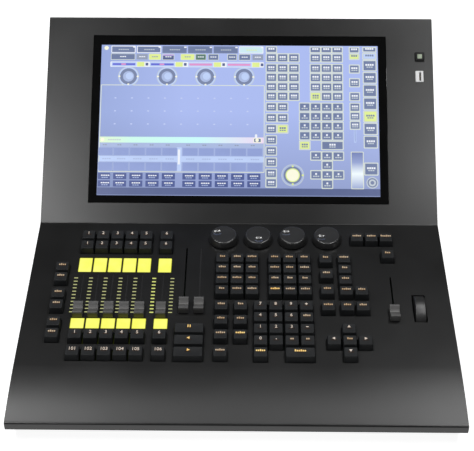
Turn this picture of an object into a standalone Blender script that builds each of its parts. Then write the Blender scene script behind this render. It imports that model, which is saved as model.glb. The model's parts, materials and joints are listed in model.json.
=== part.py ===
"""Lighting control desk: a folded steel desk with playback faders, key mats, encoder dials and a sloping touch screen.

Sizes are millimetres until a mesh or a location is made, and Blender's metres from there. The desk stands on
z = 0, centred on x and y, with its operator at -Y. Pieces on the sloping panels are placed in the frame of
their panel: x across the desk, y up the slope from the fold behind the control deck, z out of the panel.
"""

import math

import bmesh
import bpy
from mathutils import Vector

MM = 0.001
GAP = 0.3  # between neighbouring solids

# Driving dimensions of the folded top panel
WIDTH = 532.0
SHEET = 2.0
WRIST_DEPTH, DECK_DEPTH, SCREEN_DEPTH = 82.2, 247.8, 297.8
DECK_TILT = math.radians(5.0)
WRIST_TILT = DECK_TILT + math.radians(4.6)
SCREEN_TILT = DECK_TILT + math.radians(34.1)
WRIST_BOW, WRIST_FACETS = math.radians(8.0), 8  # the palm rest's slope turns this much from its fold to its front
FRONT_HEIGHT = 36.0
FRONT_LIP, REAR_LIP = 10.0, 12.0

# Lower case
FOOT_RADIUS, FOOT_HEIGHT = 12.0, 6.0
FOOT_INSET_X, FOOT_INSET_Y = 40.0, 42.0
PAN_Z = FOOT_HEIGHT + GAP
CHIN_DEPTH = 31.0  # how far the slanted front wall of the base pan runs back
SIDE_INSET = 1.0
REAR_RECESS = 12.0

# Keys: square caps that taper upwards, moulded on a mat that rests on the switches
KEY, KEY_TOP, KEY_HEIGHT, KEY_SKIRT = 17.5, 15.8, 8.5, 0.8
KEY_TOP_LENGTH, KEY_TOP_BACK = 14.4, 0.8  # the top is set back, so that the front face slopes most
KEY_CLEARANCE = 0.45
KEY_PITCH = 19.05
WIDE_KEY, DOUBLE_KEY = 36.5, 36.2
MAT_MARGIN, MAT_TOP, MAT_BOTTOM = 0.3, -3.2, -5.2
PLUNGER, PLUNGER_END = 6.0, -15.0
SWITCH, SWITCH_TOP = 6.0, -18.0

# Boards below the deck
BOARD_TOP, BOARD_THICK = -21.0, 1.6
BOARD_SPLIT_X = -35.0
BOARD_FRONT, BOARD_REAR = -244.0, -6.0
BOARD_EDGE_X = 245.0

# Playback section
COLUMN_PITCH = 19.0
FIRST_COLUMN_X, LAST_COLUMN_X = -197.4, -94.7
COLUMNS = [FIRST_COLUMN_X + COLUMN_PITCH * i for i in range(5)] + [LAST_COLUMN_X]
FADER_OFFSET = -0.6  # of a fader from its column of keys and displays
FADER_TRAVEL, CROSSFADER_TRAVEL = 60.0, 100.0
FADER_LOW_Y, CROSSFADER_LOW_Y, MASTER_LOW_Y = -161.5, -153.0, -163.8
CROSSFADER_X = (-67.3, -48.5)
MASTER_X = 194.3
CAP_WIDTH, CAP_LENGTH, CAP_HEIGHT, CAP_BASE = 12.0, 21.0, 10.0, 1.0
STEM_WIDTH, STEM_LENGTH = 1.2, 8.0
CARRIAGE = (7.0, 12.0)
CARRIAGE_LOW, CARRIAGE_HIGH = -14.5, -9.5
FADER_SLOT = 2.0
HOUSING_WIDTH, HOUSING_TOP, HOUSING_OVER = 12.0, -5.8, 16.0
LED_BAR_X = [x - 9.5 for x in COLUMNS[:5]] + [LAST_COLUMN_X - 12.4, LAST_COLUMN_X + 10.9]
LED_BAR = (5.0, 64.0)
LED_BAR_Y = FADER_LOW_Y + FADER_TRAVEL / 2 - 0.8
LED_BOARD_TOP, LED_BOARD_THICK = -3.0, 1.2
LABEL_WIDTH = 17.2
UPPER_LABEL_Y, UPPER_LABEL_LENGTH = -79.3, 25.8
LOWER_LABEL_Y, LOWER_LABEL_LENGTH = -180.5, 17.2
LABEL_TOP, LABEL_BOARD_TOP, LABEL_BOARD_THICK = -0.5, -4.6, 1.4

# Programmer section
DIAL_X = [-19.7 + 45.35 * i for i in range(4)]
DIAL_Y = -30.4
DIAL_RADIUS, DIAL_TOP_RADIUS, DIAL_HEIGHT, DIAL_BASE = 19.5, 15.8, 10.0, 1.0
SHAFT_RADIUS, SHAFT_END = 3.0, -15.0
ENCODER_BODY, ENCODER_BODY_TOP = 14.0, -8.0
WHEEL_X, WHEEL_Y, WHEEL_DEPTH = 226.4, -152.3, 16.2
WHEEL_RADIUS, WHEEL_WIDTH, AXLE_RADIUS, AXLE_HALF = 26.5, 13.0, 2.0, 10.2
WHEEL_WINDOW = (16.8, 46.2)
BRACKET_THICK, BRACKET_OFFSET, BRACKET_TOP = 2.0, 9.4, -11.5

# Screen section
GLASS_WIDTH, GLASS_LENGTH, GLASS_X, GLASS_LOW_Y = 405.0, 239.4, -1.0, 28.1
GLASS_THICK, GLASS_PROUD = 3.0, 0.3
DISPLAY_BODY = (396.0, 230.0, 8.0)
BUTTON_X, BUTTON_Y, BUTTON, BUTTON_PROUD = 247.6, 238.0, 12.6, 2.6
USB_X, USB_Y, USB_WIDTH, USB_LENGTH = 247.0, 209.6, 10.8, 15.8
USB_SLIT = (2.4, 12.4)

# Rear panel, seen from behind: x to the right, y up from the table
INLET_X, DMX_X, PORTS_X = 196.0, (118.0, 80.0), 20.0
CONNECTOR_Y = 52.0
INLET_FLANGE = (62.0, 31.0)
INLET_BODY = (56.0, 25.0)
INLET_CAVITY_X, ROCKER_X = -12.0, 17.0
INLET_CAVITY = (24.0, 16.5)
ROCKER_WINDOW = (13.6, 21.6)
ROCKER_WIDTH, ROCKER_LENGTH, ROCKER_SWING = 12.4, 19.0, math.radians(20.0)
DMX_RADIUS, DMX_FLANGE = 11.7, (26.0, 31.0)
PORTS_BLOCK = (34.0, 16.0)


def panel_outline():
    """Points of the top panel's outer outline, front to back, as (y, z) on the desk."""
    spans = ((WRIST_DEPTH, WRIST_TILT), (DECK_DEPTH, DECK_TILT), (SCREEN_DEPTH, SCREEN_TILT))
    points = [Vector((0.0, FRONT_HEIGHT))]
    for length, tilt in spans:
        points.append(points[-1] + length * Vector((math.cos(tilt), math.sin(tilt))))
    middle = Vector((points[-1].x / 2, 0.0))
    return [point - middle for point in points]


FRONT, WRIST_FOLD, DECK_FOLD, CREST = panel_outline()
REAR_PANEL_Y = CREST.x - REAR_RECESS


def block(xs, ys, width=KEY):
    """Keys that share one opening: its columns, its rows and the width of a key."""
    return [(tuple(xs), tuple(ys), width)]


def spaced(xs, ys, width=KEY):
    """Keys that each have an opening of their own."""
    return [((x,), (y,), width) for x in xs for y in ys]


def run(start, count, pitch=KEY_PITCH):
    return [start + pitch * i for i in range(count)]


def exec_row(y):
    return block(COLUMNS[:5], [y]) + block(COLUMNS[5:], [y])


VIEW_X = (112.5, 136.2, 155.6)
CURSOR_X, CURSOR_Y = 136.0, -212.8
KEY_MATS = {
    "upper_exec_keys_back": exec_row(-31.4),
    "upper_exec_keys_front": exec_row(-31.4 - KEY_PITCH),
    "exec_keys_back": exec_row(-205.2),
    "exec_keys_front": exec_row(-232.1),
    "page_keys_back": block([-225.4], run(-90.0, 2, -KEY_PITCH)),
    "page_keys_middle": block([-225.4], run(-137.4, 2, -KEY_PITCH)),
    "page_keys_front": block([-225.4], run(-185.0, 2, -KEY_PITCH)),
    "pause_key": block([-58.8], [-194.6], WIDE_KEY),
    "go_back_key": block([-58.8], [-194.6 - KEY_PITCH], WIDE_KEY),
    "go_forward_key": block([-58.8], [-194.6 - 2 * KEY_PITCH], WIDE_KEY),
    "preset_keypad": block(run(-20.4, 3), run(-73.0, 4, -KEY_PITCH)),
    "command_keypad": block(run(46.8, 3), run(-73.0, 4, -KEY_PITCH)),
    "object_keys": spaced((-20.4, 3.6), run(-156.5, 3, -24.0)),
    "store_key": block([-20.4], [-232.2]),
    "number_keypad": block(run(28.1, 4), run(-156.5, 4, -KEY_PITCH)),
    "shift_key": block([28.1], [-232.7]),
    "enter_key": block([75.7], [-232.7], DOUBLE_KEY),
    "view_keys": spaced(VIEW_X[:1], run(-73.4, 4, -27.8))
    + block(VIEW_X[1:2], run(-73.0, 4, -KEY_PITCH))
    + spaced(VIEW_X[2:], [-73.0 - 3 * KEY_PITCH])
    + spaced(VIEW_X[1:], [-156.8]),
    "cursor_keys": spaced([CURSOR_X], run(CURSOR_Y + KEY_PITCH, 3, -KEY_PITCH))
    + spaced([CURSOR_X - KEY_PITCH, CURSOR_X + KEY_PITCH], [CURSOR_Y]),
    "menu_keys": block(run(155.3, 3), [-33.2]),
    "blackout_key": block([193.3], [-64.4]),
}
FADERS = {
    **{f"exec_fader_{i + 1}": (x + FADER_OFFSET, FADER_LOW_Y, FADER_TRAVEL) for i, x in enumerate(COLUMNS)},
    "crossfader_a": (CROSSFADER_X[0], CROSSFADER_LOW_Y, CROSSFADER_TRAVEL),
    "crossfader_b": (CROSSFADER_X[1], CROSSFADER_LOW_Y, CROSSFADER_TRAVEL),
    "master_fader": (MASTER_X, MASTER_LOW_Y, FADER_TRAVEL),
}

# Finishes: colour, roughness, metallic
POWDER_COAT = ("powder_coat", (0.016, 0.016, 0.018), 0.45, 0.0)
ZINC_STEEL = ("zinc_steel", (0.42, 0.43, 0.44), 0.35, 1.0)
BLACK_PLASTIC = ("black_plastic", (0.02, 0.02, 0.022), 0.4, 0.0)
KEY_PLASTIC = ("key_plastic", (0.022, 0.022, 0.025), 0.5, 0.0)
GREY_PLASTIC = ("grey_plastic", (0.10, 0.10, 0.11), 0.45, 0.0)
GLOSS_PLASTIC = ("gloss_plastic", (0.012, 0.012, 0.014), 0.12, 0.0)
RUBBER = ("rubber", (0.03, 0.03, 0.03), 0.85, 0.0)
BLACK_GLASS = ("black_glass", (0.005, 0.005, 0.006), 0.06, 0.0)
CIRCUIT_BOARD = ("circuit_board", (0.02, 0.10, 0.05), 0.5, 0.0)
LABEL_LENS = ("label_lens", (0.90, 0.88, 0.14), 0.35, 0.0)


def clear_scene():
    for obj in list(bpy.data.objects):
        bpy.data.objects.remove(obj, do_unlink=True)


def panel_frame(name, location, rotation):
    """An empty that holds what sits on one panel."""
    frame = bpy.data.objects.new(name, None)
    frame.location = Vector(location) * MM
    frame.rotation_euler = rotation
    bpy.context.scene.collection.objects.link(frame)
    return frame


def add_loft(bm, rings):
    """A closed skin through rings of matching points, with its first and last ring capped."""
    loops = [[bm.verts.new(Vector(point) * MM) for point in ring] for ring in rings]
    for lower, upper in zip(loops, loops[1:]):
        for i in range(len(lower)):
            j = (i + 1) % len(lower)
            bm.faces.new((lower[i], lower[j], upper[j], upper[i]))
    bm.faces.new(list(reversed(loops[0])))
    bm.faces.new(loops[-1])


def rectangle(x, y, width, length, z):
    corners = ((-0.5, -0.5), (0.5, -0.5), (0.5, 0.5), (-0.5, 0.5))
    return [(x + a * width, y + b * length, z) for a, b in corners]


def add_stack(bm, x, y, levels):
    """Rectangles (width, length, z) on one upright centre line, skinned from the lowest to the highest."""
    add_loft(bm, [rectangle(x, y, *level) for level in levels])


def add_box(bm, x, y, width, length, low, high):
    add_stack(bm, x, y, ((width, length, low), (width, length, high)))


def add_turned(bm, centre, profile, steps, axis="z"):
    """A turned solid: profile is (radius, distance along the axis), and its ends are capped."""
    rings = []
    for radius, along in profile:
        ring = []
        for i in range(steps):
            angle = 2 * math.pi * i / steps
            across = Vector((radius * math.cos(angle), radius * math.sin(angle), along))
            ring.append(Vector(centre) + (across if axis == "z" else Vector((across.z, across.x, across.y))))
        rings.append(ring)
    add_loft(bm, rings)


def add_profile(bm, outline, left, right):
    """An outline of (y, z) points, extruded across the desk."""
    add_loft(bm, [[(x, y, z) for y, z in outline] for x in (left, right)])


def mesh_object(name, fill, frame=None, origin=(0.0, 0.0, 0.0)):
    """An object whose mesh fill() makes in the frame's millimetres, with its origin at that point."""
    bm = bmesh.new()
    fill(bm)
    bmesh.ops.recalc_face_normals(bm, faces=bm.faces)
    bmesh.ops.translate(bm, vec=-Vector(origin) * MM, verts=bm.verts)
    mesh = bpy.data.meshes.new(name)
    bm.to_mesh(mesh)
    bm.free()
    obj = bpy.data.objects.new(name, mesh)
    obj.location = Vector(origin) * MM
    obj.parent = frame
    bpy.context.scene.collection.objects.link(obj)
    return obj


def combine(obj, operation, fill, frame=None):
    """Joins the solids that fill() makes to obj, or cuts them out of it."""
    helper = mesh_object(f"{obj.name}_{operation.lower()}_{len(obj.modifiers)}", fill, frame)
    helper.hide_render = True
    helper.display_type = "WIRE"
    modifier = obj.modifiers.new(helper.name, "BOOLEAN")
    modifier.operation = operation
    modifier.solver = "EXACT"
    modifier.object = helper


def finish(obj, look, smooth=False):
    name, colour, roughness, metallic = look
    material = bpy.data.materials.new(f"{obj.name}_{name}")
    material.use_nodes = True
    shader = material.node_tree.nodes["Principled BSDF"]
    shader.inputs["Base Color"].default_value = (*colour, 1.0)
    shader.inputs["Roughness"].default_value = roughness
    shader.inputs["Metallic"].default_value = metallic
    obj.data.materials.append(material)
    if smooth:
        obj.data.shade_smooth()
        obj.data.set_sharp_from_angle(angle=math.radians(35))
    return obj


def offset_path(points, distance):
    """The path at a distance to the right of (y, z) points, mitred at its corners."""
    moved = []
    for before, after in zip(points, points[1:]):
        along = (after - before).normalized()
        shift = distance * Vector((along.y, -along.x))
        moved.append((before + shift, along))
    path = [moved[0][0]]
    for (point, along), (other, onward) in zip(moved, moved[1:]):
        cross = along.x * onward.y - along.y * onward.x
        reach = ((other.x - point.x) * onward.y - (other.y - point.y) * onward.x) / cross
        path.append(point + reach * along)
    return path + [points[-1] + distance * Vector((moved[-1][1].y, -moved[-1][1].x))]


def wrist_arc():
    """Points of the palm rest's gentle arch between the front edge and the fold."""
    up = Vector((-math.sin(WRIST_TILT), math.cos(WRIST_TILT)))
    points = []
    for i in range(1, WRIST_FACETS):
        share = i / WRIST_FACETS
        rise = WRIST_DEPTH * WRIST_BOW / 2 * share * (1 - share)
        points.append(FRONT.lerp(WRIST_FOLD, share) + rise * up)
    return points


def panel_path():
    """The outer face of the top panel with both its lips, as (y, z)."""
    return [
        Vector((FRONT.x, FRONT.y - FRONT_LIP)),
        FRONT,
        *wrist_arc(),
        WRIST_FOLD,
        DECK_FOLD,
        CREST,
        Vector((CREST.x, CREST.y - REAR_LIP)),
    ]


def opening_of(field):
    xs, ys, width = field
    middle_x, middle_y = (min(xs) + max(xs)) / 2, (min(ys) + max(ys)) / 2
    grown = 2 * KEY_CLEARANCE
    return middle_x, middle_y, max(xs) - min(xs) + width + grown, max(ys) - min(ys) + KEY + grown


def keys_of(mat):
    """(x, y, width) of each key on a mat."""
    return [(x, y, width) for xs, ys, width in KEY_MATS[mat] for y in ys for x in xs]


def add_deck_openings(bm):
    for fields in KEY_MATS.values():
        for field in fields:
            x, y, width, length = opening_of(field)
            add_box(bm, x, y, width, length, -2 * SHEET, SHEET)
    for x, low, travel in FADERS.values():
        add_box(bm, x, low + travel / 2, FADER_SLOT, travel + STEM_LENGTH + 3, -2 * SHEET, SHEET)
    for x in COLUMNS:
        for y, length in ((UPPER_LABEL_Y, UPPER_LABEL_LENGTH), (LOWER_LABEL_Y, LOWER_LABEL_LENGTH)):
            add_box(bm, x, y, LABEL_WIDTH, length, -2 * SHEET, SHEET)
    for x in LED_BAR_X:
        add_box(bm, x, LED_BAR_Y, *LED_BAR, -2 * SHEET, SHEET)
    for x in DIAL_X:
        add_turned(bm, (x, DIAL_Y, 0), ((SHAFT_RADIUS + 1, -2 * SHEET), (SHAFT_RADIUS + 1, SHEET / 3)), 16)
    add_box(bm, WHEEL_X, WHEEL_Y, *WHEEL_WINDOW, -2 * SHEET, SHEET)


def add_screen_openings(bm):
    y = GLASS_LOW_Y + GLASS_LENGTH / 2
    add_box(bm, GLASS_X, y, GLASS_WIDTH + 2 * GAP, GLASS_LENGTH + 2 * GAP, -2 * SHEET, SHEET)
    add_box(bm, BUTTON_X, BUTTON_Y, BUTTON + 0.8, BUTTON + 0.8, -2 * SHEET, SHEET)
    add_box(bm, USB_X, USB_Y, USB_WIDTH + 2 * GAP, USB_LENGTH + 2 * GAP, -2 * SHEET, SHEET)


def make_top_panel(deck, screen):
    outer = panel_path()
    outline = outer + list(reversed(offset_path(outer, SHEET)))
    panel = mesh_object("top_panel", lambda bm: add_profile(bm, outline, -WIDTH / 2, WIDTH / 2))
    combine(panel, "DIFFERENCE", add_deck_openings, deck)
    combine(panel, "DIFFERENCE", add_screen_openings, screen)
    finish(panel, POWDER_COAT)


def chin_path():
    """The outer face of the base pan: its slanted front wall, then its floor."""
    top = Vector((FRONT.x + SHEET + 0.4, FRONT.y - FRONT_LIP + 1.5))
    return [top, Vector((top.x + CHIN_DEPTH, PAN_Z)), Vector((CREST.x - SHEET - 0.5, PAN_Z))]


def make_base_pan():
    outer = chin_path()
    outline = outer + list(reversed(offset_path(outer, -SHEET)))
    half = WIDTH / 2 - SIDE_INSET - SHEET - GAP
    finish(mesh_object("base_pan", lambda bm: add_profile(bm, outline, -half, half)), POWDER_COAT)


def make_side_panels():
    under = offset_path(panel_path(), SHEET + GAP)
    top, corner, rear = chin_path()
    outline = [*under[1:-1], Vector((under[-2].x, PAN_Z)), corner, top]
    for name, side in (("side_panel_left", -1), ("side_panel_right", 1)):
        outside = side * (WIDTH / 2 - SIDE_INSET)
        edges = sorted((outside, outside - side * SHEET))
        panel = mesh_object(name, lambda bm: add_profile(bm, outline, *edges))
        finish(panel, POWDER_COAT)


def make_feet():
    profile = ((FOOT_RADIUS - 1.5, 0), (FOOT_RADIUS, 1.5), (FOOT_RADIUS - 1, FOOT_HEIGHT))
    front, rear = FRONT.x + FOOT_INSET_Y + CHIN_DEPTH / 2, CREST.x - FOOT_INSET_Y
    for x, across in ((FOOT_INSET_X - WIDTH / 2, "left"), (WIDTH / 2 - FOOT_INSET_X, "right")):
        for y, along in ((front, "front"), (rear, "rear")):
            foot = mesh_object(f"foot_{along}_{across}", lambda bm: add_turned(bm, (x, y, 0), profile, 24))
            finish(foot, RUBBER, smooth=True)


def add_key(bm, x, y, width):
    base = [rectangle(x, y, width, KEY, z) for z in (-4.0, KEY_SKIRT)]
    top = rectangle(x, y + KEY_TOP_BACK, width - KEY + KEY_TOP, KEY_TOP_LENGTH, KEY_HEIGHT)
    add_loft(bm, [*base, top])


def make_key_mat(name, deck):
    keys = keys_of(name)
    left, right = min(x - w / 2 for x, y, w in keys), max(x + w / 2 for x, y, w in keys)
    front, back = min(y for x, y, w in keys) - KEY / 2, max(y for x, y, w in keys) + KEY / 2
    middle_x, middle_y = (left + right) / 2, (front + back) / 2
    size = (right - left + 2 * MAT_MARGIN, back - front + 2 * MAT_MARGIN)

    def add_keys(bm):
        for key in keys:
            add_key(bm, *key)

    def add_plungers(bm):
        for x, y, _ in keys:
            add_box(bm, x, y, PLUNGER, PLUNGER, PLUNGER_END, -4.4)

    origin = (middle_x, middle_y, 0)
    plate = mesh_object(
        name, lambda bm: add_box(bm, middle_x, middle_y, *size, MAT_BOTTOM, MAT_TOP), deck, origin
    )
    combine(plate, "UNION", add_keys, deck)
    combine(plate, "UNION", add_plungers, deck)
    finish(plate, KEY_PLASTIC)


def make_fader_cap(name, deck):
    x, y, _ = FADERS[name]
    half, top = CAP_LENGTH / 2, CAP_HEIGHT
    rise = ((-half, CAP_BASE), (half, CAP_BASE), (half - 1, top - 1.5), (half - 3, top), (half - 8, top - 2))
    outline = [(y + a, z) for a, z in (*rise, (8 - half, top - 2), (3 - half, top), (1 - half, top - 1.5))]
    levels = (
        (*CARRIAGE, CARRIAGE_LOW),
        (*CARRIAGE, CARRIAGE_HIGH),
        (STEM_WIDTH, STEM_LENGTH, CARRIAGE_HIGH),
        (STEM_WIDTH, STEM_LENGTH, CAP_BASE + 2),
    )
    sides = (x - CAP_WIDTH / 2, x + CAP_WIDTH / 2)
    cap = mesh_object(name, lambda bm: add_profile(bm, outline, *sides), deck, (x, y, 0))
    combine(cap, "UNION", lambda bm: add_stack(bm, x, y, levels), deck)
    finish(cap, GREY_PLASTIC)


def make_dial(name, x, deck):
    profile = (
        (SHAFT_RADIUS, SHAFT_END),
        (SHAFT_RADIUS, DIAL_BASE),
        (DIAL_RADIUS - 0.6, DIAL_BASE),
        (DIAL_RADIUS, DIAL_BASE + 0.6),
        (DIAL_RADIUS, DIAL_BASE + 2),
        (DIAL_TOP_RADIUS + 1, DIAL_HEIGHT - 1),
        (DIAL_TOP_RADIUS, DIAL_HEIGHT),
    )
    origin = (x, DIAL_Y, 0)
    dial = mesh_object(name, lambda bm: add_turned(bm, origin, profile, 40), deck, origin)
    finish(dial, BLACK_PLASTIC, smooth=True)


def make_level_wheel(deck):
    half, edge = WHEEL_WIDTH / 2, 1.4
    profile = (
        (AXLE_RADIUS, -AXLE_HALF),
        (AXLE_RADIUS, -half),
        (WHEEL_RADIUS - edge, -half),
        (WHEEL_RADIUS, edge - half),
        (WHEEL_RADIUS, half - edge),
        (WHEEL_RADIUS - edge, half),
        (AXLE_RADIUS, half),
        (AXLE_RADIUS, AXLE_HALF),
    )
    origin = (WHEEL_X, WHEEL_Y, -WHEEL_DEPTH)
    wheel = mesh_object("level_wheel", lambda bm: add_turned(bm, origin, profile, 48, "x"), deck, origin)
    finish(wheel, GLOSS_PLASTIC, smooth=True)


def make_label_displays(name, y, length, deck):
    """Six small displays on one strip board, each behind its own window."""
    left, right = COLUMNS[0] - LABEL_WIDTH / 2, COLUMNS[-1] + LABEL_WIDTH / 2
    low = LABEL_BOARD_TOP - LABEL_BOARD_THICK
    strip = (right - left, length - 2 * GAP, low, LABEL_BOARD_TOP)
    board = mesh_object(name, lambda bm: add_box(bm, (left + right) / 2, y, *strip), deck)

    def add_displays(bm):
        for x in COLUMNS:
            size = (LABEL_WIDTH - 2 * GAP, length - 4 * GAP)
            add_box(bm, x, y, *size, LABEL_BOARD_TOP - LABEL_BOARD_THICK / 2, LABEL_TOP)

    combine(board, "UNION", add_displays, deck)
    finish(board, LABEL_LENS)


def make_led_bar_board(deck):
    """Seven light bars on one board that the stems of the faders pass through."""
    left, right = LED_BAR_X[0] - 5, LED_BAR_X[-1] + 5
    low = LED_BOARD_TOP - LED_BOARD_THICK
    size = (right - left, LED_BAR[1] + 8, low, LED_BOARD_TOP)
    board = mesh_object("led_bar_board", lambda bm: add_box(bm, (left + right) / 2, LED_BAR_Y, *size), deck)

    def add_bars(bm):
        for x in LED_BAR_X:
            size = (LED_BAR[0] - 2 * GAP, LED_BAR[1] - 2 * GAP)
            add_box(bm, x, LED_BAR_Y, *size, low + LED_BOARD_THICK / 2, -GAP)

    def add_slots(bm):
        for x in COLUMNS:
            slot = (FADER_SLOT + 1, FADER_TRAVEL + STEM_LENGTH + 5)
            add_box(bm, x + FADER_OFFSET, FADER_LOW_Y + FADER_TRAVEL / 2, *slot, low - 1, 0)

    combine(board, "UNION", add_bars, deck)
    combine(board, "DIFFERENCE", add_slots, deck)
    finish(board, CIRCUIT_BOARD)


def add_fader_housing(bm, x, low, travel):
    add_box(bm, x, low + travel / 2, HOUSING_WIDTH, travel + HOUSING_OVER, BOARD_TOP - 0.8, HOUSING_TOP)


def add_fader_channel(bm, x, low, travel):
    """The hollow that a fader's carriage and stem slide in."""
    carriage = (CARRIAGE[0] + 1.6, travel + CARRIAGE[1] + 1.6)
    stem = (STEM_WIDTH + 1.2, travel + STEM_LENGTH + 2)
    floor, roof = CARRIAGE_LOW - 2, CARRIAGE_HIGH + 1.5
    add_stack(bm, x, low + travel / 2, ((*carriage, floor), (*carriage, roof), (*stem, roof), (*stem, 0)))


def add_switches(bm, left, right):
    for mat in KEY_MATS:
        for x, y, _ in keys_of(mat):
            if left < x < right:
                add_box(bm, x, y, SWITCH, SWITCH, BOARD_TOP - 0.8, SWITCH_TOP)


def board_slab(name, left, right, deck):
    middle = (BOARD_FRONT + BOARD_REAR) / 2
    size = (right - left, BOARD_REAR - BOARD_FRONT, BOARD_TOP - BOARD_THICK, BOARD_TOP)
    slab = mesh_object(name, lambda bm: add_box(bm, (left + right) / 2, middle, *size), deck)
    combine(slab, "UNION", lambda bm: add_switches(bm, left, right), deck)
    return slab


def make_playback_board(deck):
    faders = [fader for fader in FADERS.values() if fader[0] < BOARD_SPLIT_X]
    board = board_slab("playback_board", -BOARD_EDGE_X, BOARD_SPLIT_X - GAP, deck)
    combine(board, "UNION", lambda bm: [add_fader_housing(bm, *fader) for fader in faders], deck)
    combine(board, "DIFFERENCE", lambda bm: [add_fader_channel(bm, *fader) for fader in faders], deck)
    finish(board, CIRCUIT_BOARD)


def make_programmer_board(deck):
    board = board_slab("programmer_board", BOARD_SPLIT_X + GAP, BOARD_EDGE_X, deck)
    master = FADERS["master_fader"]

    def add_bodies(bm):
        for x in DIAL_X:
            add_box(bm, x, DIAL_Y, ENCODER_BODY, ENCODER_BODY, BOARD_TOP - 0.8, ENCODER_BODY_TOP)
        for side in (-1, 1):
            x = WHEEL_X + side * BRACKET_OFFSET
            add_box(bm, x, WHEEL_Y, BRACKET_THICK, 14, BOARD_TOP - 0.8, BRACKET_TOP)
        add_fader_housing(bm, *master)

    def add_hollows(bm):
        for x in DIAL_X:
            bore = ((SHAFT_RADIUS + 0.5, SHAFT_END - 1), (SHAFT_RADIUS + 0.5, 0))
            add_turned(bm, (x, DIAL_Y, 0), bore, 16)
        add_fader_channel(bm, *master)
        add_box(bm, WHEEL_X, WHEEL_Y, WHEEL_WIDTH + 2, 58, BOARD_TOP - 3, BOARD_TOP + 0.5)

    def add_axle_bore(bm):
        bore = ((AXLE_RADIUS + 0.4, -AXLE_HALF - 3), (AXLE_RADIUS + 0.4, AXLE_HALF + 3))
        add_turned(bm, (WHEEL_X, WHEEL_Y, -WHEEL_DEPTH), bore, 16, "x")

    combine(board, "UNION", add_bodies, deck)
    combine(board, "DIFFERENCE", add_hollows, deck)
    combine(board, "DIFFERENCE", add_axle_bore, deck)
    finish(board, CIRCUIT_BOARD)


def make_screen(screen):
    y = GLASS_LOW_Y + GLASS_LENGTH / 2
    back = GLASS_PROUD - GLASS_THICK
    glass = (GLASS_WIDTH, GLASS_LENGTH, back, GLASS_PROUD)
    finish(mesh_object("screen_glass", lambda bm: add_box(bm, GLASS_X, y, *glass), screen), BLACK_GLASS)
    width, length, thick = DISPLAY_BODY
    body = (width, length, back - GAP - thick, back - GAP)
    display = mesh_object("display_module", lambda bm: add_box(bm, GLASS_X, y, *body), screen)
    low = back - GAP - thick
    combine(display, "UNION", lambda bm: add_box(bm, GLASS_X, y - 60, 180, 60, low - 6, low + 1), screen)
    finish(display, ZINC_STEEL)


def make_screen_button(screen):
    levels = (
        (6, 6, -12),
        (6, 6, -5),
        (BUTTON, BUTTON, -5),
        (BUTTON, BUTTON, BUTTON_PROUD - 0.8),
        (BUTTON - 1.6, BUTTON - 1.6, BUTTON_PROUD),
    )
    origin = (BUTTON_X, BUTTON_Y, 0)
    button = mesh_object("screen_button", lambda bm: add_stack(bm, BUTTON_X, BUTTON_Y, levels), screen, origin)
    finish(button, GLOSS_PLASTIC)


def make_screen_usb_port(screen):
    shell = (USB_WIDTH, USB_LENGTH, -13, 0.6)
    port = mesh_object("screen_usb_port", lambda bm: add_box(bm, USB_X, USB_Y, *shell), screen)
    combine(port, "DIFFERENCE", lambda bm: add_box(bm, USB_X + 1, USB_Y, *USB_SLIT, -10, 2), screen)
    finish(port, ZINC_STEEL)


def make_rear_panel(rear):
    half = WIDTH / 2 - SIDE_INSET - SHEET - GAP
    low = PAN_Z + SHEET + GAP
    high = CREST.y - (REAR_RECESS + SHEET) * math.tan(SCREEN_TILT) - SHEET / math.cos(SCREEN_TILT) - 0.5
    size = (2 * half, high - low, -SHEET, 0)
    panel = mesh_object("rear_panel", lambda bm: add_box(bm, 0, (low + high) / 2, *size), rear)

    def add_cutouts(bm):
        add_box(bm, INLET_X, CONNECTOR_Y, INLET_BODY[0] + 1, INLET_BODY[1] + 1, -5, 2)
        for x in DMX_X:
            add_turned(bm, (x, CONNECTOR_Y, 0), ((DMX_RADIUS + 0.5, -5), (DMX_RADIUS + 0.5, 2)), 24)
        add_box(bm, PORTS_X, CONNECTOR_Y, PORTS_BLOCK[0] + 1, PORTS_BLOCK[1] + 1, -5, 2)
        for i in range(14):
            add_box(bm, -220 + 11 * i, 150, 3.5, 70, -5, 2)

    combine(panel, "DIFFERENCE", add_cutouts, rear)
    finish(panel, POWDER_COAT)


def make_mains_inlet(rear):
    """A mains inlet and its rocker switch's frame in one moulding."""
    x, y = INLET_X, CONNECTOR_Y
    levels = ((*INLET_BODY, -22), (*INLET_BODY, GAP), (*INLET_FLANGE, GAP), (*INLET_FLANGE, 2.3))
    inlet = mesh_object("mains_inlet", lambda bm: add_stack(bm, x, y, levels), rear)

    def add_hollows(bm):
        add_box(bm, x + INLET_CAVITY_X, y, *INLET_CAVITY, -16, 4)
        add_box(bm, x + ROCKER_X, y, *ROCKER_WINDOW, -17, 4)

    def add_pins(bm):
        for across, up in ((-7, -1.5), (0, 2.5), (7, -1.5)):
            add_box(bm, x + INLET_CAVITY_X + across, y + up, 2, 4, -17, -3)

    combine(inlet, "DIFFERENCE", add_hollows, rear)
    combine(inlet, "UNION", add_pins, rear)
    finish(inlet, BLACK_PLASTIC)


def make_power_rocker(rear):
    """Its upper face is hollow between two raised ends, and it rests tipped by half its swing."""
    half = ROCKER_LENGTH / 2
    pivot = Vector((INLET_X + ROCKER_X, CONNECTOR_Y, -3.5))
    section = ((-half, 2.5), (-half + 1, 6.2), (0, 4.6), (half - 1, 6.2), (half, 2.5), (3, -7), (-3, -7))
    lean = ROCKER_SWING / 2
    turned = [
        (y * math.cos(lean) - z * math.sin(lean), y * math.sin(lean) + z * math.cos(lean))
        for y, z in reversed(section)
    ]
    outline = [(pivot.y + y, pivot.z + z) for y, z in turned]
    sides = (pivot.x - ROCKER_WIDTH / 2, pivot.x + ROCKER_WIDTH / 2)
    rocker = mesh_object("power_rocker", lambda bm: add_profile(bm, outline, *sides), rear, pivot)
    finish(rocker, GLOSS_PLASTIC)


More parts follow.
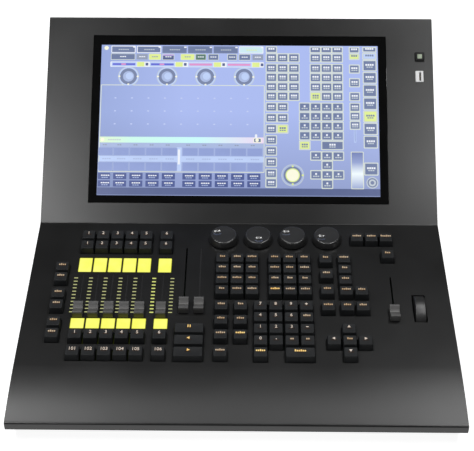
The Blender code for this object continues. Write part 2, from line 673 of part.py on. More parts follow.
def make_dmx_sockets(rear):
    """Five-pole round sockets, with their contacts in a ring of four and one below."""
    for name, x in zip(("dmx_socket_left", "dmx_socket_right"), DMX_X):
        flange = (*DMX_FLANGE, GAP, 2.3)
        socket = mesh_object(name, lambda bm: add_box(bm, x, CONNECTOR_Y, *flange), rear)
        barrel = ((DMX_RADIUS, -20), (DMX_RADIUS, 1.3))

        def add_contacts(bm):
            for degrees in range(18, 360, 72):
                angle = math.radians(degrees)
                centre = (x + 5.5 * math.cos(angle), CONNECTOR_Y + 5.5 * math.sin(angle), 0)
                add_turned(bm, centre, ((1.6, -11), (1.6, 4)), 8)

        combine(socket, "UNION", lambda bm: add_turned(bm, (x, CONNECTOR_Y, 0), barrel, 24), rear)
        combine(socket, "DIFFERENCE", add_contacts, rear)
        finish(socket, GLOSS_PLASTIC)


def make_network_usb_ports(rear):
    """A network socket and two USB sockets in one shell."""
    x, y = PORTS_X, CONNECTOR_Y
    shell = (*PORTS_BLOCK, -18, 1.2)
    ports = mesh_object("network_usb_ports", lambda bm: add_box(bm, x, y, *shell), rear)

    def add_sockets(bm):
        add_box(bm, x - 8.5, y, 12, 9, -13, 3)
        for up in (-3.5, 3.5):
            add_box(bm, x + 8, y + up, USB_SLIT[1], USB_SLIT[0], -10, 3)

    combine(ports, "DIFFERENCE", add_sockets, rear)
    finish(ports, ZINC_STEEL)


def make_main_board():
    """The computer board on its standoffs, with its heat sink and the larger components."""
    x, y, low = -70.0, 155.0, 18.0
    board = mesh_object("main_board", lambda bm: add_box(bm, x, y, 230, 160, low, low + 1.6))

    def add_components(bm):
        for across, along, width, length, height in ((-40, 20, 64, 64, 24), (55, -20, 90, 9, 30), (55, 30, 60, 40, 12)):
            add_box(bm, x + across, y + along, width, length, low + 0.8, low + height)

    def add_standoffs(bm):
        for across in (-108, 108):
            for along in (-73, 73):
                add_box(bm, x + across, y + along, 6, 6, PAN_Z + SHEET + GAP, low + 0.8)

    combine(board, "UNION", add_components)
    combine(board, "UNION", add_standoffs)
    finish(board, CIRCUIT_BOARD)


def make_power_supply():
    low = PAN_Z + SHEET + GAP
    case = mesh_object("power_supply", lambda bm: add_box(bm, 160, 160, 150, 90, low, low + 38))

    def add_terminals(bm):
        add_box(bm, 160, 160 - 45, 90, 14, low + 2, low + 14)

    combine(case, "UNION", add_terminals)
    finish(case, ZINC_STEEL)


def main():
    clear_scene()
    deck = panel_frame("deck_frame", (0, *DECK_FOLD), (DECK_TILT, 0, 0))
    screen = panel_frame("screen_frame", (0, *DECK_FOLD), (SCREEN_TILT, 0, 0))
    rear = panel_frame("rear_frame", (0, REAR_PANEL_Y, 0), (math.pi / 2, 0, math.pi))
    make_top_panel(deck, screen)
    make_base_pan()
    make_side_panels()
    make_feet()
    for name in KEY_MATS:
        make_key_mat(name, deck)
    for name in FADERS:
        make_fader_cap(name, deck)
    for i, x in enumerate(DIAL_X):
        make_dial(f"encoder_dial_{i + 1}", x, deck)
    make_level_wheel(deck)
    make_label_displays("label_displays_upper", UPPER_LABEL_Y, UPPER_LABEL_LENGTH, deck)
    make_label_displays("label_displays_lower", LOWER_LABEL_Y, LOWER_LABEL_LENGTH, deck)
    make_led_bar_board(deck)
    make_playback_board(deck)
    make_programmer_board(deck)
    make_screen(screen)
    make_screen_button(screen)
    make_screen_usb_port(screen)
    make_rear_panel(rear)
    make_mains_inlet(rear)
    make_power_rocker(rear)
    make_dmx_sockets(rear)
    make_network_usb_ports(rear)
    make_main_board()
    make_power_supply()


main()
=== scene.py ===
"""Lighting control desk: the finished surfaces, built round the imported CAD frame.

Shapes are made in the millimetres of the panel that they sit on (x across, y up the slope, z out of it) and are
then placed by that panel's matrix, so every mesh ends in the frame's metres with its object at the origin.
"""

import json
from math import atan2, cos, pi, radians, sin, tan

import bmesh
import bpy
from mathutils import Matrix, Vector

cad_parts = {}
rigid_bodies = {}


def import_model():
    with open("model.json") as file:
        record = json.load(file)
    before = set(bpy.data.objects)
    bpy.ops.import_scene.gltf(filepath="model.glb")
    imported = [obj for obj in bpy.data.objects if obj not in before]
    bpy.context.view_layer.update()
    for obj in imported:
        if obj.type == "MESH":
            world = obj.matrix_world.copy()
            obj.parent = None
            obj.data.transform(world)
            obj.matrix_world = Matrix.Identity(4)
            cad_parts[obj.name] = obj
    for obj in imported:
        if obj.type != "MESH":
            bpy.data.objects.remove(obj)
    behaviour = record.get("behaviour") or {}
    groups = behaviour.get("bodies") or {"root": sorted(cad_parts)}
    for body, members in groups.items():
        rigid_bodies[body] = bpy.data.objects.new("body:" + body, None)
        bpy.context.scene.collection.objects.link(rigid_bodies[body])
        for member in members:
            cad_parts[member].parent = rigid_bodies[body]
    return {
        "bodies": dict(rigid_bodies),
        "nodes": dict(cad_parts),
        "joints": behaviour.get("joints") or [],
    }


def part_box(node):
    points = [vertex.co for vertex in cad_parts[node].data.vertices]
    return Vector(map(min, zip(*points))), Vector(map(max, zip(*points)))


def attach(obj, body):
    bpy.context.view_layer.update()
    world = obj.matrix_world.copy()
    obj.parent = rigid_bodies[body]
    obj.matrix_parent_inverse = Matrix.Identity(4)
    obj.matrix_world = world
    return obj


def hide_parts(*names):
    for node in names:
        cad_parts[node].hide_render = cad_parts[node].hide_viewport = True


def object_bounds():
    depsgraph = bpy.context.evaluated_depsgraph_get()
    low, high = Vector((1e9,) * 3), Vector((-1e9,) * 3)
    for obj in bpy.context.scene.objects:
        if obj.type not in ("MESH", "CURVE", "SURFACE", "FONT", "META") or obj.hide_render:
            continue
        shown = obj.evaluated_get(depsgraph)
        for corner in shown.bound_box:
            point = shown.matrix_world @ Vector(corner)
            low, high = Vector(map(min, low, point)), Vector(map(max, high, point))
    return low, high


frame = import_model()
CAD_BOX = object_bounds()

MM = 0.001
JOINTS = {joint["name"]: joint for joint in frame["joints"]}

# Panel geometry, as the CAD has it
SHEET = 2
WRIST_DEPTH, DECK_DEPTH, SCREEN_DEPTH = 82.2, 247.8, 297.8
WRIST_BEND, SCREEN_BEND = radians(4.6), radians(34.1)
WRIST_BOW, WRIST_STEPS = radians(8), 24  # the palm rest's slope turns this much from its fold to its front
FRONT_LIP, REAR_LIP = 10, 12
DIAL_Y = -30.4
BEND_RADIUS, INNER_BEND_RADIUS, RIM_RADIUS = 2.6, 0.8, 0.35
KEY, KEY_SKIRT, KEY_HEIGHT = 17.5, 0.8, 8.5
KEY_CLEARANCE = 0.45
SIDE_INSET = 1.5  # from the CAD's widest point to the seat of a side screw
ROCKER_LEAN = radians(10)
LIT_FACE = 0.5  # of the screen button's width

ACROSS = Vector((1, 0, 0))
DECK_NORMAL = Vector(JOINTS["encoder_dial_1_turn"]["axis"]).normalized()
DECK_ALONG = DECK_NORMAL.cross(ACROSS)
DECK_TILT = atan2(DECK_ALONG.z, DECK_ALONG.y)
DECK_FOLD = Vector(JOINTS["encoder_dial_1_turn"]["pos_m"]) - DIAL_Y * MM * DECK_ALONG
DECK_FOLD.x = 0
HALF_WIDTH = (CAD_BOX[1].x - CAD_BOX[0].x) / 2 / MM
DESK = Matrix.Scale(MM, 4)


def panel_matrix(origin, tilt):
    """Millimetres on a panel that slopes by tilt, to the frame's metres."""
    return Matrix.Translation(origin) @ Matrix.Rotation(tilt, 4, "X") @ DESK


DECK = panel_matrix(DECK_FOLD, DECK_TILT)
DECK_TURN = Matrix.Rotation(DECK_TILT, 4, "X")
SCREEN = panel_matrix(DECK_FOLD, DECK_TILT + SCREEN_BEND)
REAR_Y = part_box("rear_panel")[1].y
REAR = Matrix.Translation((0, REAR_Y, 0)) @ Matrix(((-1, 0, 0), (0, 0, 1), (0, 1, 0))).to_4x4() @ DESK
ROCKER_PIVOT = REAR.inverted() @ Vector(JOINTS["power_rocker_tip"]["pos_m"])
ROCKER = REAR @ Matrix.Translation(ROCKER_PIVOT) @ Matrix.Rotation(ROCKER_LEAN, 4, "X")


def local_box(node, place):
    """The node's lowest and highest corners in a panel's millimetres."""
    back = place.inverted()
    points = [back @ vertex.co for vertex in frame["nodes"][node].data.vertices]
    return [Vector([pick(p[i] for p in points) for i in range(3)]) for pick in (min, max)]


def flat_box(node, place):
    """A node's box on a panel: its middle (x, y), its width and its length."""
    low, high = local_box(node, place)
    return (low.x + high.x) / 2, (low.y + high.y) / 2, high.x - low.x, high.y - low.y


def middle_of(node, place):
    return flat_box(node, place)[:2]


def add_object(name, data):
    """A new object, linked to the scene."""
    obj = bpy.data.objects.new(name, data)
    bpy.context.scene.collection.objects.link(obj)
    return obj


# ---- materials

MOTTLE = (0.35, 0.65)  # the part of a noise over which a mottled colour changes
GLOW_MOTTLE = 60
GRAIN_DEPTH = 0.0002
UNLIT = {"Base Color": (0.01, 0.01, 0.01, 1), "Roughness": 0.25, "Specular IOR Level": 0.3}
DIMMEST = 0.68  # the display's light at its foot, against that at its top
PICTURE_MOTTLE = 0.96  # the display's light where it is mottled darkest


def srgb(red, green, blue):
    """A display colour, 0 to 255, as the linear colour that shaders take."""
    linear = []
    for value in (red, green, blue):
        value /= 255
        linear.append(value / 12.92 if value <= 0.04045 else ((value + 0.055) / 1.055) ** 2.4)
    return (*linear, 1)


def grey(value, warmth=0):
    return (value * (1 + warmth), value, value * (1 - warmth), 1)


def set_inputs(node, values):
    for name, value in values.items():
        node.inputs[name].default_value = value


def new_material(name, values):
    """A material, its node tree, and its shader with the sockets in values set."""
    material = bpy.data.materials.new(name)
    material.use_nodes = True
    shader = material.node_tree.nodes["Principled BSDF"]
    set_inputs(shader, values)
    return material, material.node_tree, shader


def add_node(tree, kind, values):
    node = tree.nodes.new("ShaderNode" + kind)
    set_inputs(node, values)
    return node


def noise(tree, scale, detail=3):
    node = add_node(tree, "TexNoise", {"Scale": scale, "Detail": detail})
    tree.links.new(add_node(tree, "TexCoord", {}).outputs["Object"], node.inputs["Vector"])
    return node.outputs["Fac"]


def ramp(tree, source, positions, colours):
    """A colour ramp, driven by source."""
    node = add_node(tree, "ValToRGB", {})
    elements = node.color_ramp.elements
    for position in positions[1:-1]:
        elements.new(position)
    for element, position, colour in zip(elements, positions, colours):
        element.position = position
        element.color = colour
    tree.links.new(source, node.inputs["Fac"])
    return node.outputs["Color"]


def map_range(tree, source, values):
    node = add_node(tree, "MapRange", values)
    tree.links.new(source, node.inputs["Value"])
    return node.outputs["Result"]


def surface(name, dark, light, rough, grain, bump, warmth=0, metallic=0, mottle=30, coat=0, specular=0.5):
    """A finish mottled from dark to light (greys or colours), with its roughness, and a fine grain in its bump."""
    values = {"Metallic": metallic, "Coat Weight": coat, "Specular IOR Level": specular}
    material, tree, shader = new_material(name, values)
    colours = [tone if isinstance(tone, tuple) else grey(tone, warmth) for tone in (dark, light)]
    cloud = noise(tree, mottle)
    relief = add_node(tree, "Bump", {"Strength": bump, "Distance": GRAIN_DEPTH})
    tree.links.new(noise(tree, grain, 2), relief.inputs["Height"])
    tree.links.new(relief.outputs["Normal"], shader.inputs["Normal"])
    tree.links.new(ramp(tree, cloud, MOTTLE, colours), shader.inputs["Base Color"])
    sheen = map_range(tree, cloud, {"To Min": rough[0], "To Max": rough[1]})
    tree.links.new(sheen, shader.inputs["Roughness"])
    return material


def lit(name, colour, strength=1, edge=None, dimmed=1):
    """A back-lit surface under clear plastic, mottled from edge, or from its dimmed colour, to its colour."""
    material, tree, shader = new_material(name, {**UNLIT, "Emission Strength": strength})
    colour = srgb(*colour)
    edge = srgb(*edge) if edge else (*[dimmed * part for part in colour[:3]], 1)
    glow = ramp(tree, noise(tree, GLOW_MOTTLE), MOTTLE, (edge, colour))
    tree.links.new(glow, shader.inputs["Emission Color"])
    return material


def graded_light(name, axis, low, high, stops, shade=None):
    """A display colour that runs through stops along an axis of the frame, from low to high in metres.

    shade is the height at which the display is dimmest and that at which it is at full strength.
    """
    material, tree, shader = new_material("picture_" + name, {**UNLIT, "Emission Strength": 1})
    parts = add_node(tree, "SeparateXYZ", {})
    tree.links.new(add_node(tree, "TexCoord", {}).outputs["Object"], parts.inputs["Vector"])
    run = map_range(tree, parts.outputs[axis], {"From Min": low, "From Max": high})
    colours = [srgb(*colour) for _, colour in stops]
    glow = ramp(tree, run, [share for share, _ in stops], colours)
    tree.links.new(glow, shader.inputs["Emission Color"])
    if shade:
        values = {"From Min": shade[0], "From Max": shade[1], "To Min": DIMMEST}
        tree.links.new(map_range(tree, parts.outputs["Z"], values), shader.inputs["Emission Strength"])
    return material


LOOKS = {
    "coat": surface("powder_coat", 0.009, 0.012, (0.26, 0.34), 900, 0.06, mottle=14),
    # painted shade: a darker coat for the walls of the shell's openings
    "coat_opening_shade": surface("opening_wall_painted_shade", 0.006, 0.010, (0.45, 0.55), 600, 0.1),
    "key": surface("key_plastic", 0.016, 0.019, (0.46, 0.56), 1400, 0.12, warmth=-0.06, specular=0.24),
    "cap": surface("fader_plastic", 0.088, 0.10, (0.42, 0.5), 1200, 0.12, warmth=0.02),
    # painted shade: a darker copy of the fader plastic for the two ends of the exec caps
    "cap_end_shade": surface("fader_end_painted_shade", 0.022, 0.027, (0.42, 0.5), 1200, 0.12),
    "cap_line": surface("fader_line", 0.17, 0.20, (0.5, 0.6), 900, 0.05, warmth=0.03),
    "dial": surface("dial_plastic", 0.017, 0.022, (0.36, 0.42), 1500, 0.1),
    "dial_edge": surface("dial_edge", 0.020, 0.026, (0.26, 0.32), 900, 0.05, specular=0.9),
    "dimple": surface("dimple_plastic", 0.020, 0.026, (0.24, 0.28), 900, 0.005, coat=1, specular=1),
    "gloss": surface("gloss_plastic", 0.010, 0.014, (0.10, 0.16), 300, 0.03, coat=0.4),
    "wheel": surface("wheel_plastic", 0.014, 0.018, (0.38, 0.44), 900, 0.06, specular=0.9),
    "glass": surface("black_glass", 0.004, 0.005, (0.04, 0.07), 40, 0.01, specular=0.35),
    "rubber": surface("foot_rubber", 0.022, 0.03, (0.75, 0.9), 700, 0.3),
    "zinc": surface("zinc_plate", 0.45, 0.58, (0.28, 0.4), 350, 0.08, metallic=1),
    "brass": surface(
        "contact_plate", (0.72, 0.55, 0.26, 1), (0.82, 0.64, 0.32, 1), (0.2, 0.3), 300, 0.03, metallic=1
    ),
    "socket": surface("socket_plastic", 0.012, 0.016, (0.4, 0.5), 900, 0.08),
    "board": surface("solder_mask", (0.004, 0.022, 0.010, 1), (0.006, 0.034, 0.016, 1), (0.3, 0.45), 260, 0.15),
    "bezel": surface("button_bezel", 0.006, 0.009, (0.45, 0.55), 600, 0.1, specular=0.25),
    "screw": surface("black_screw", 0.02, 0.03, (0.3, 0.4), 300, 0.05, metallic=0.6),
    "port_white": surface("port_insert", 0.78, 0.86, (0.3, 0.4), 500, 0.04),
    "seal": surface("slot_seal", 0.010, 0.013, (0.5, 0.6), 900, 0.2, specular=0.3),
    "legend": lit("legend_glow", (244, 230, 216), 0.8, (228, 208, 190)),
    "legend_word": lit("word_glow", (208, 186, 158), 0.85, (192, 160, 122)),
    "legend_amber": lit("legend_amber", (255, 226, 150), 1, (255, 200, 110)),
    "halo": lit("legend_halo", (70, 44, 24), 0.6, (52, 32, 18)),
    "label": lit("label_glow", (255, 255, 122), 1, (252, 253, 104)),
    "label_rim": lit("label_rim", (206, 208, 44), 0.8),
    "led": lit("led_glow", (182, 184, 128), 1),
    "led_bright": lit("led_bright", (214, 222, 124), 1),
    "power_light": lit("power_light", (172, 184, 160), 0.8, (132, 146, 126)),
}


# ---- mesh tools

CORNER_STEPS = 3


def skin(bm, rings, look=0):
    """A closed skin through rings of matching points."""
    loops = [[bm.verts.new(point) for point in ring] for ring in rings]
    faces = []
    for lower, upper in zip(loops, loops[1:]):
        for i in range(len(lower)):
            j = (i + 1) % len(lower)
            faces.append((lower[i], lower[j], upper[j], upper[i]))
    for corners in (*faces, loops[0][::-1], loops[-1]):
        bm.faces.new(corners).material_index = look
    return loops


def rounded(x, y, width, length, z, radius):
    """A ring round a rectangle with rounded corners."""
    radius = max(min(radius, width / 2 - 1e-3, length / 2 - 1e-3), 1e-3)
    ring = []
    for corner, (a, b) in enumerate(((1, 1), (-1, 1), (-1, -1), (1, -1))):
        middle = Vector((x + a * (width / 2 - radius), y + b * (length / 2 - radius)))
        for i in range(CORNER_STEPS + 1):
            angle = pi / 2 * (corner + i / CORNER_STEPS)
            ring.append((middle.x + radius * cos(angle), middle.y + radius * sin(angle), z))
    return ring


def slab(bm, x, y, width, length, low, high, radius, look=0, soft=0):
    """A plate with rounded corners, whose upper edge is softened where soft is given."""
    rings = [rounded(x, y, width, length, z, radius) for z in (low, high - soft)]
    if soft:
        for angle in (pi / 4, pi / 2):
            inward = soft * (1 - cos(angle))
            rise = high - soft + soft * sin(angle)
            rings.append(rounded(x, y, width - 2 * inward, length - 2 * inward, rise, max(radius - inward, 0.05)))
    skin(bm, rings, look)


def turned(bm, centre, profile, steps, look=0, across=False):
    """A body turned round z, or round x where across is set, through profile (radius, along)."""
    rings = []
    for radius, along in profile:
        angles = [2 * pi * i / steps for i in range(steps)]
        ring = [Vector((radius * cos(angle), radius * sin(angle), along)) for angle in angles]
        rings.append([Vector(centre) + (point.zxy if across else point) for point in ring])
    skin(bm, rings, look)


def filled(fill, place):
    """The mesh that fill() makes on a panel, in the frame's metres."""
    bm = bmesh.new()
    fill(bm)
    bmesh.ops.recalc_face_normals(bm, faces=bm.faces)
    bm.transform(place)
    return bm


def mesh_object(name, bm, materials):
    mesh = bpy.data.meshes.new(name)
    bm.to_mesh(mesh)
    bm.free()
    for material in materials:
        mesh.materials.append(material)
    return add_object(name, mesh)


def evaluated_mesh(obj):
    bpy.context.view_layer.update()
    return bpy.data.meshes.new_from_object(obj.evaluated_get(bpy.context.evaluated_depsgraph_get()))


def smooth(obj, sharp):
    """Smooth shading, but for edges that turn more than sharp degrees."""
    obj.data.shade_smooth()
    obj.data.set_sharp_from_angle(angle=radians(sharp))


def piece(name, place, fill, looks, slot, body="desk", stands_for=None, sharp=38):
    """A piece whose mesh fill() makes on a panel; it rides on a body and may stand for a CAD node."""
    obj = mesh_object(name, filled(fill, place), [LOOKS[look] for look in looks])
    smooth(obj, sharp)
    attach(obj, body)
    if stands_for:
        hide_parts(stands_for)
    return obj


def refined(node, look, bevel):
    """A copy of a CAD node with its flat faces merged and its edges broken."""
    source = frame["nodes"][node]
    bm = bmesh.new()
    bm.from_mesh(source.data)
    bmesh.ops.remove_doubles(bm, verts=bm.verts, dist=1e-6)
    bmesh.ops.dissolve_limit(bm, angle_limit=radians(0.5), verts=bm.verts, edges=bm.edges)
    obj = mesh_object(node + "_finished", bm, [LOOKS[look]])
    smooth(obj, 38)
    edges = obj.modifiers.new("edges", "BEVEL")
    edges.width = bevel * MM
    edges.segments = 2
    edges.limit_method = "ANGLE"
    edges.angle_limit = radians(30)
    obj.modifiers.new("normals", "WEIGHTED_NORMAL")
    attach(obj, next(body for body, empty in frame["bodies"].items() if source.parent is empty))
    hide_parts(node)


def cut(obj, fill, place, name):
    """Takes what fill() makes out of obj, and keeps the result in its mesh."""
    cutter = mesh_object(name, filled(fill, place), obj.data.materials)
    modifier = obj.modifiers.new(name, "BOOLEAN")
    modifier.operation = "DIFFERENCE"
    modifier.solver = "EXACT"
    modifier.object = cutter
    result = evaluated_mesh(obj)
    obj.modifiers.remove(modifier)
    obj.data = result
    bpy.data.objects.remove(cutter)


# ---- camera and stage

# The camera's place from the fold behind the deck, in the deck's own frame, and its turn from straight along the deck
CAMERA_OFFSET = Vector((11.3, -1168, 1092.7))
CAMERA_DIP, CAMERA_YAW, CAMERA_ROLL = 0.7535, -0.0086, 0.0065
CAMERA_LENS, SENSOR_WIDTH = 90.7, 36

# Soft boxes 1.8 m above the deck and level with it: middle (x, y) from the fold, size (x, y) in metres, and radiance
LIGHT_HEIGHT = 1.8
SOFTBOXES = {
    "rear_left": ((-0.84, 0.46), (0.78, 0.27), 14),
    "rear_right": ((0.72, 0.45), (0.25, 0.96), 12.6),
    "front_left": ((-0.71, -0.74), (0.25, 0.75), 17.9),
    "front_right": ((0.73, -0.51), (0.25, 0.20), 35.8),
    "rear_strip": ((0.24, 0.48), (1.18, 0.25), 4.2),
}

FLOOR_HALF = 8
FLOOR = {"Base Color": grey(0.6), "Roughness": 0.9, "Specular IOR Level": 0}
FLOOR |= {"Emission Color": grey(1), "Emission Strength": 0.92}
SKY = (0.9, 0.94, 1, 1)
SKY_ON_SURFACES, SKY_IN_VIEW = 0.03, 1.1


def make_camera():
    camera = add_object("camera", bpy.data.cameras.new("camera"))
    camera.data.lens = CAMERA_LENS
    camera.data.sensor_width = SENSOR_WIDTH
    turn = Matrix.Rotation(pi / 2 - CAMERA_DIP, 4, "X") @ Matrix.Rotation(-CAMERA_YAW, 4, "Y")
    turn = DECK_TURN @ turn @ Matrix.Rotation(CAMERA_ROLL, 4, "Z")
    camera.matrix_world = Matrix.Translation(DECK @ CAMERA_OFFSET) @ turn
    bpy.context.scene.camera = camera


def make_lights():
    for name, (middle, size, radiance) in SOFTBOXES.items():
        light = bpy.data.lights.new(name, "AREA")
        light.shape = "RECTANGLE"
        light.size, light.size_y = size
        light.energy = radiance * pi * size[0] * size[1]
        place = Matrix.Translation(DECK @ (Vector((*middle, LIGHT_HEIGHT)) / MM))
        add_object(name, light).matrix_world = place @ DECK_TURN


def make_floor():
    mesh = bpy.data.meshes.new("floor")
    signs = ((-1, -1), (1, -1), (1, 1), (-1, 1))
    mesh.from_pydata([(a * FLOOR_HALF, b * FLOOR_HALF, 0) for a, b in signs], [], [(0, 1, 2, 3)])
    mesh.materials.append(new_material("floor_paper", FLOOR)[0])
    add_object("floor", mesh)


def make_world():
    """White to the eye, and dim to the surfaces, as beyond the edge of a small white sweep."""
    world = bpy.data.worlds.new("studio")
    world.use_nodes = True
    tree = world.node_tree
    shade = tree.nodes["Background"]
    set_inputs(shade, {"Color": SKY})
    in_view = add_node(tree, "LightPath", {}).outputs["Is Camera Ray"]
    strength = map_range(tree, in_view, {"To Min": SKY_ON_SURFACES, "To Max": SKY_IN_VIEW})
    tree.links.new(strength, shade.inputs["Strength"])
    bpy.context.scene.world = world
    bpy.context.scene.view_settings.view_transform = "Standard"


# ---- casing

SHARPEST_FACET = radians(2)  # a smaller turn than this belongs to a curve, and isn't rounded again
BEND_STEPS = 5


def arc_path(points, radius):
    """The (y, z) path through points with each inner corner rounded."""
    path = [points[0]]
    for before, corner, after in zip(points, points[1:], points[2:]):
        back, ahead = (before - corner).normalized(), (after - corner).normalized()
        half = back.angle(ahead) / 2
        if pi - 2 * half < SHARPEST_FACET:
            path.append(corner)
            continue
        reach = radius / tan(half)
        centre = corner + (back + ahead).normalized() * (radius / sin(half))
        start, end = corner + back * reach - centre, corner + ahead * reach - centre
        sweep = start.angle_signed(end)
        for i in range(BEND_STEPS + 1):
            turn = Matrix.Rotation(-sweep * i / BEND_STEPS, 2)
            path.append(centre + turn @ start)
    path.append(points[-1])
    return path


def panel_points():
    """Corners of the top panel's outline, front lip to rear lip, as (y, z) on the desk."""
    fold = Vector((DECK_FOLD.y, DECK_FOLD.z)) / MM
    tilts = (DECK_TILT + WRIST_BEND, DECK_TILT, DECK_TILT + SCREEN_BEND)
    along = [Vector((cos(tilt), sin(tilt))) for tilt in tilts]
    wrist_fold = fold - DECK_DEPTH * along[1]
    front = wrist_fold - WRIST_DEPTH * along[0]
    crest = fold + SCREEN_DEPTH * along[2]
    above = Vector((-along[0].y, along[0].x))
    wrist = []
    for i in range(1, WRIST_STEPS):
        share = i / WRIST_STEPS
        rise = WRIST_DEPTH * WRIST_BOW / 2 * share * (1 - share)
        wrist.append(front.lerp(wrist_fold, share) + rise * above)
    front_end, rear_end = front - Vector((0, FRONT_LIP)), crest - Vector((0, REAR_LIP))
    return [front_end, front, *wrist, wrist_fold, fold, crest, rear_end]


def inset_path(points, distance):
    """The path moved inwards, under the panel."""
    moved = []
    for before, after in zip(points, points[1:]):
        along = (after - before).normalized()
        moved.append((before + distance * Vector((along.y, -along.x)), along))
    path = [moved[0][0]]
    for (point, along), (other, onward) in zip(moved, moved[1:]):
        path.append(point + (other - point).cross(onward) / along.cross(onward) * along)
    return path + [points[-1] + distance * Vector((moved[-1][1].y, -moved[-1][1].x))]


def make_top_panel():
    corners = panel_points()
    outer = arc_path(corners, BEND_RADIUS)
    inner = arc_path(inset_path(corners, SHEET), INNER_BEND_RADIUS)
    outline = outer + inner[::-1]

    def fill(bm):
        loops = skin(bm, [[(x, y, z) for y, z in outline] for x in (-HALF_WIDTH, HALF_WIDTH)])
        rims = [bm.edges.get(ends) for loop in loops for ends in zip(loop, loop[1:] + loop[:1])]
        bmesh.ops.bevel(bm, geom=rims, offset=RIM_RADIUS, segments=2, affect="EDGES", clamp_overlap=True)

    shell = piece("top_shell", DESK, fill, ["coat", "coat_opening_shade"], "powder_coat", stands_for="top_panel", sharp=50)
    cut(shell, deck_openings, DECK, "deck_openings")
    cut(shell, screen_openings, SCREEN, "screen_openings")
    smooth(shell, 40)
    shell.modifiers.new("normals", "WEIGHTED_NORMAL").keep_sharp = True


def deck_openings(bm):
    """Cutters for what comes through the deck. Their walls take the shell's second look, a darker coat that paints
    shade on the walls of the openings.
    """
    boxes = [(field, 0.9) for keys in KEYS.values() for field in fields_of(keys)]
    boxes += [(fader_slot(name), 0.99) for name in FADERS]
    boxes += [(window, 0.6) for node in LABEL_ROWS for window in label_windows(node)]
    boxes += [((x, y, LED_WIDTH + 0.5, LED_LENGTH + 0.9), 0.6) for _, x, y in led_marks()]
    boxes.append((WHEEL_WINDOW, 1.2))
    for box, radius in boxes:
        slab(bm, *box, *CUT_DEPTH, radius, 1)
    for i in range(1, 5):
        turned(bm, (*middle_of(f"encoder_dial_{i}", DECK), 0), [(4, z) for z in CUT_DEPTH], 24, 1)


def screen_openings(bm):
    for node, gap in (("screen_glass", 0.6), ("screen_button", 0.8), ("screen_usb_port", 0.6)):
        x, y, width, length = flat_box(node, SCREEN)
        # look 1: the darker coat, painted shade on the walls of the openings
        slab(bm, x, y, width + gap, length + gap, *CUT_DEPTH, 1, 1)


# ---- layout of the deck

COLUMN_PITCH, KEY_PITCH = 19, 19.05
EXEC_COLUMNS = [COLUMN_PITCH * i for i in range(5)] + [102.7]
WIDE_KEY, DOUBLE_KEY = 36.5, 36.2
OPEN_SLOTS = ("crossfader_a", "master_fader")
FADERS = [f"exec_fader_{i}" for i in range(1, 7)] + ["crossfader_a", "crossfader_b", "master_fader"]
STEM_LENGTH, FADER_SLOT_WIDTH = 8, 2
LED_MARKS, LED_PITCH, LED_WIDTH, LED_LENGTH = 11, 5.87, 4.8, 1.25
BRIGHT_COLUMN = 5
LABEL_ROWS = ("label_displays_upper", "label_displays_lower")
LABEL_WIDTH = 17.2
WHEEL_WINDOW = (226.4, -152.3, 16.8, 46.2)
CUT_DEPTH = (-3 * SHEET, 2 * SHEET)


def grid(columns, rows, pitch=KEY_PITCH):
    return [(pitch * column, -pitch * row, KEY) for row in range(rows) for column in range(columns)]


EXEC_ROW = [(x, 0, KEY) for x in EXEC_COLUMNS]

VIEW_KEYS = [(0, -0.4 - 27.8 * i, KEY) for i in range(4)] + [(23.7, -KEY_PITCH * i, KEY) for i in range(4)]
VIEW_KEYS += [(43.1, -3 * KEY_PITCH, KEY), (23.7, -83.8, KEY), (43.1, -83.8, KEY)]
CURSOR_KEYS = [(KEY_PITCH, 0, KEY), (0, -KEY_PITCH, KEY), (KEY_PITCH, -KEY_PITCH, KEY)]
CURSOR_KEYS += [(2 * KEY_PITCH, -KEY_PITCH, KEY), (KEY_PITCH, -2 * KEY_PITCH, KEY)]

# Each mat's keys, from its rear left key, and what they say
MATS = {
    "upper_exec_keys_back": (EXEC_ROW, "1 2 3 4 5 6"),
    "upper_exec_keys_front": (EXEC_ROW, "1 2 3 4 5 6"),
    "exec_keys_back": (EXEC_ROW, "1 2 3 4 5 6"),
    "exec_keys_front": (EXEC_ROW, "101 102 103 104 105 106"),
    "page_keys_back": (grid(1, 2), "m4 m4"),
    "page_keys_middle": (grid(1, 2), "m4 m4"),
    "page_keys_front": (grid(1, 2), "m4 m4"),
    "pause_key": ([(0, 0, WIDE_KEY)], "*pause"),
    "go_back_key": ([(0, 0, WIDE_KEY)], "*left"),
    "go_forward_key": ([(0, 0, WIDE_KEY)], "*right"),
    "preset_keypad": (grid(3, 4), "m3 m4 m5 m4 m4 m4 m5 m5 m4 m3 m5 m5"),
    "command_keypad": (grid(3, 4), "m4 m4 m4 m5 m4 m5 m4 m3 m3 *m5 m5 m5"),
    "object_keys": (grid(2, 3, 24), "m4 m3 m4 m4 m5 *m5"),
    "store_key": (grid(1, 1), "m5"),
    "number_keypad": (grid(4, 4), "7 8 9 plus 4 5 6 m4 1 2 3 minus 0 dot m2 m2"),
    "shift_key": (grid(1, 1), "*m5"),
    "enter_key": ([(0, 0, DOUBLE_KEY)], "*m6"),
    "view_keys": (VIEW_KEYS, "m3 m4 m4 m5 m5 m3 m4 m5 m4 m4 m4"),
    "cursor_keys": (CURSOR_KEYS, "up left m3 right down"),
    "menu_keys": (grid(3, 1), "m5 m5 m6"),
    "blackout_key": (grid(1, 1), "m3"),
}
MAT_MARGIN = 0.3


def keys_of(mat):
    """(x, y, width) of each key on the deck, from the mat's place in the frame."""
    low, high = local_box(mat, DECK)
    pattern = MATS[mat][0]
    left = min(x - width / 2 for x, y, width in pattern)
    rear = max(y for x, y, width in pattern) + KEY / 2
    return [(low.x + MAT_MARGIN + x - left, high.y - MAT_MARGIN + y - rear, width) for x, y, width in pattern]


KEYS = {mat: keys_of(mat) for mat in MATS}


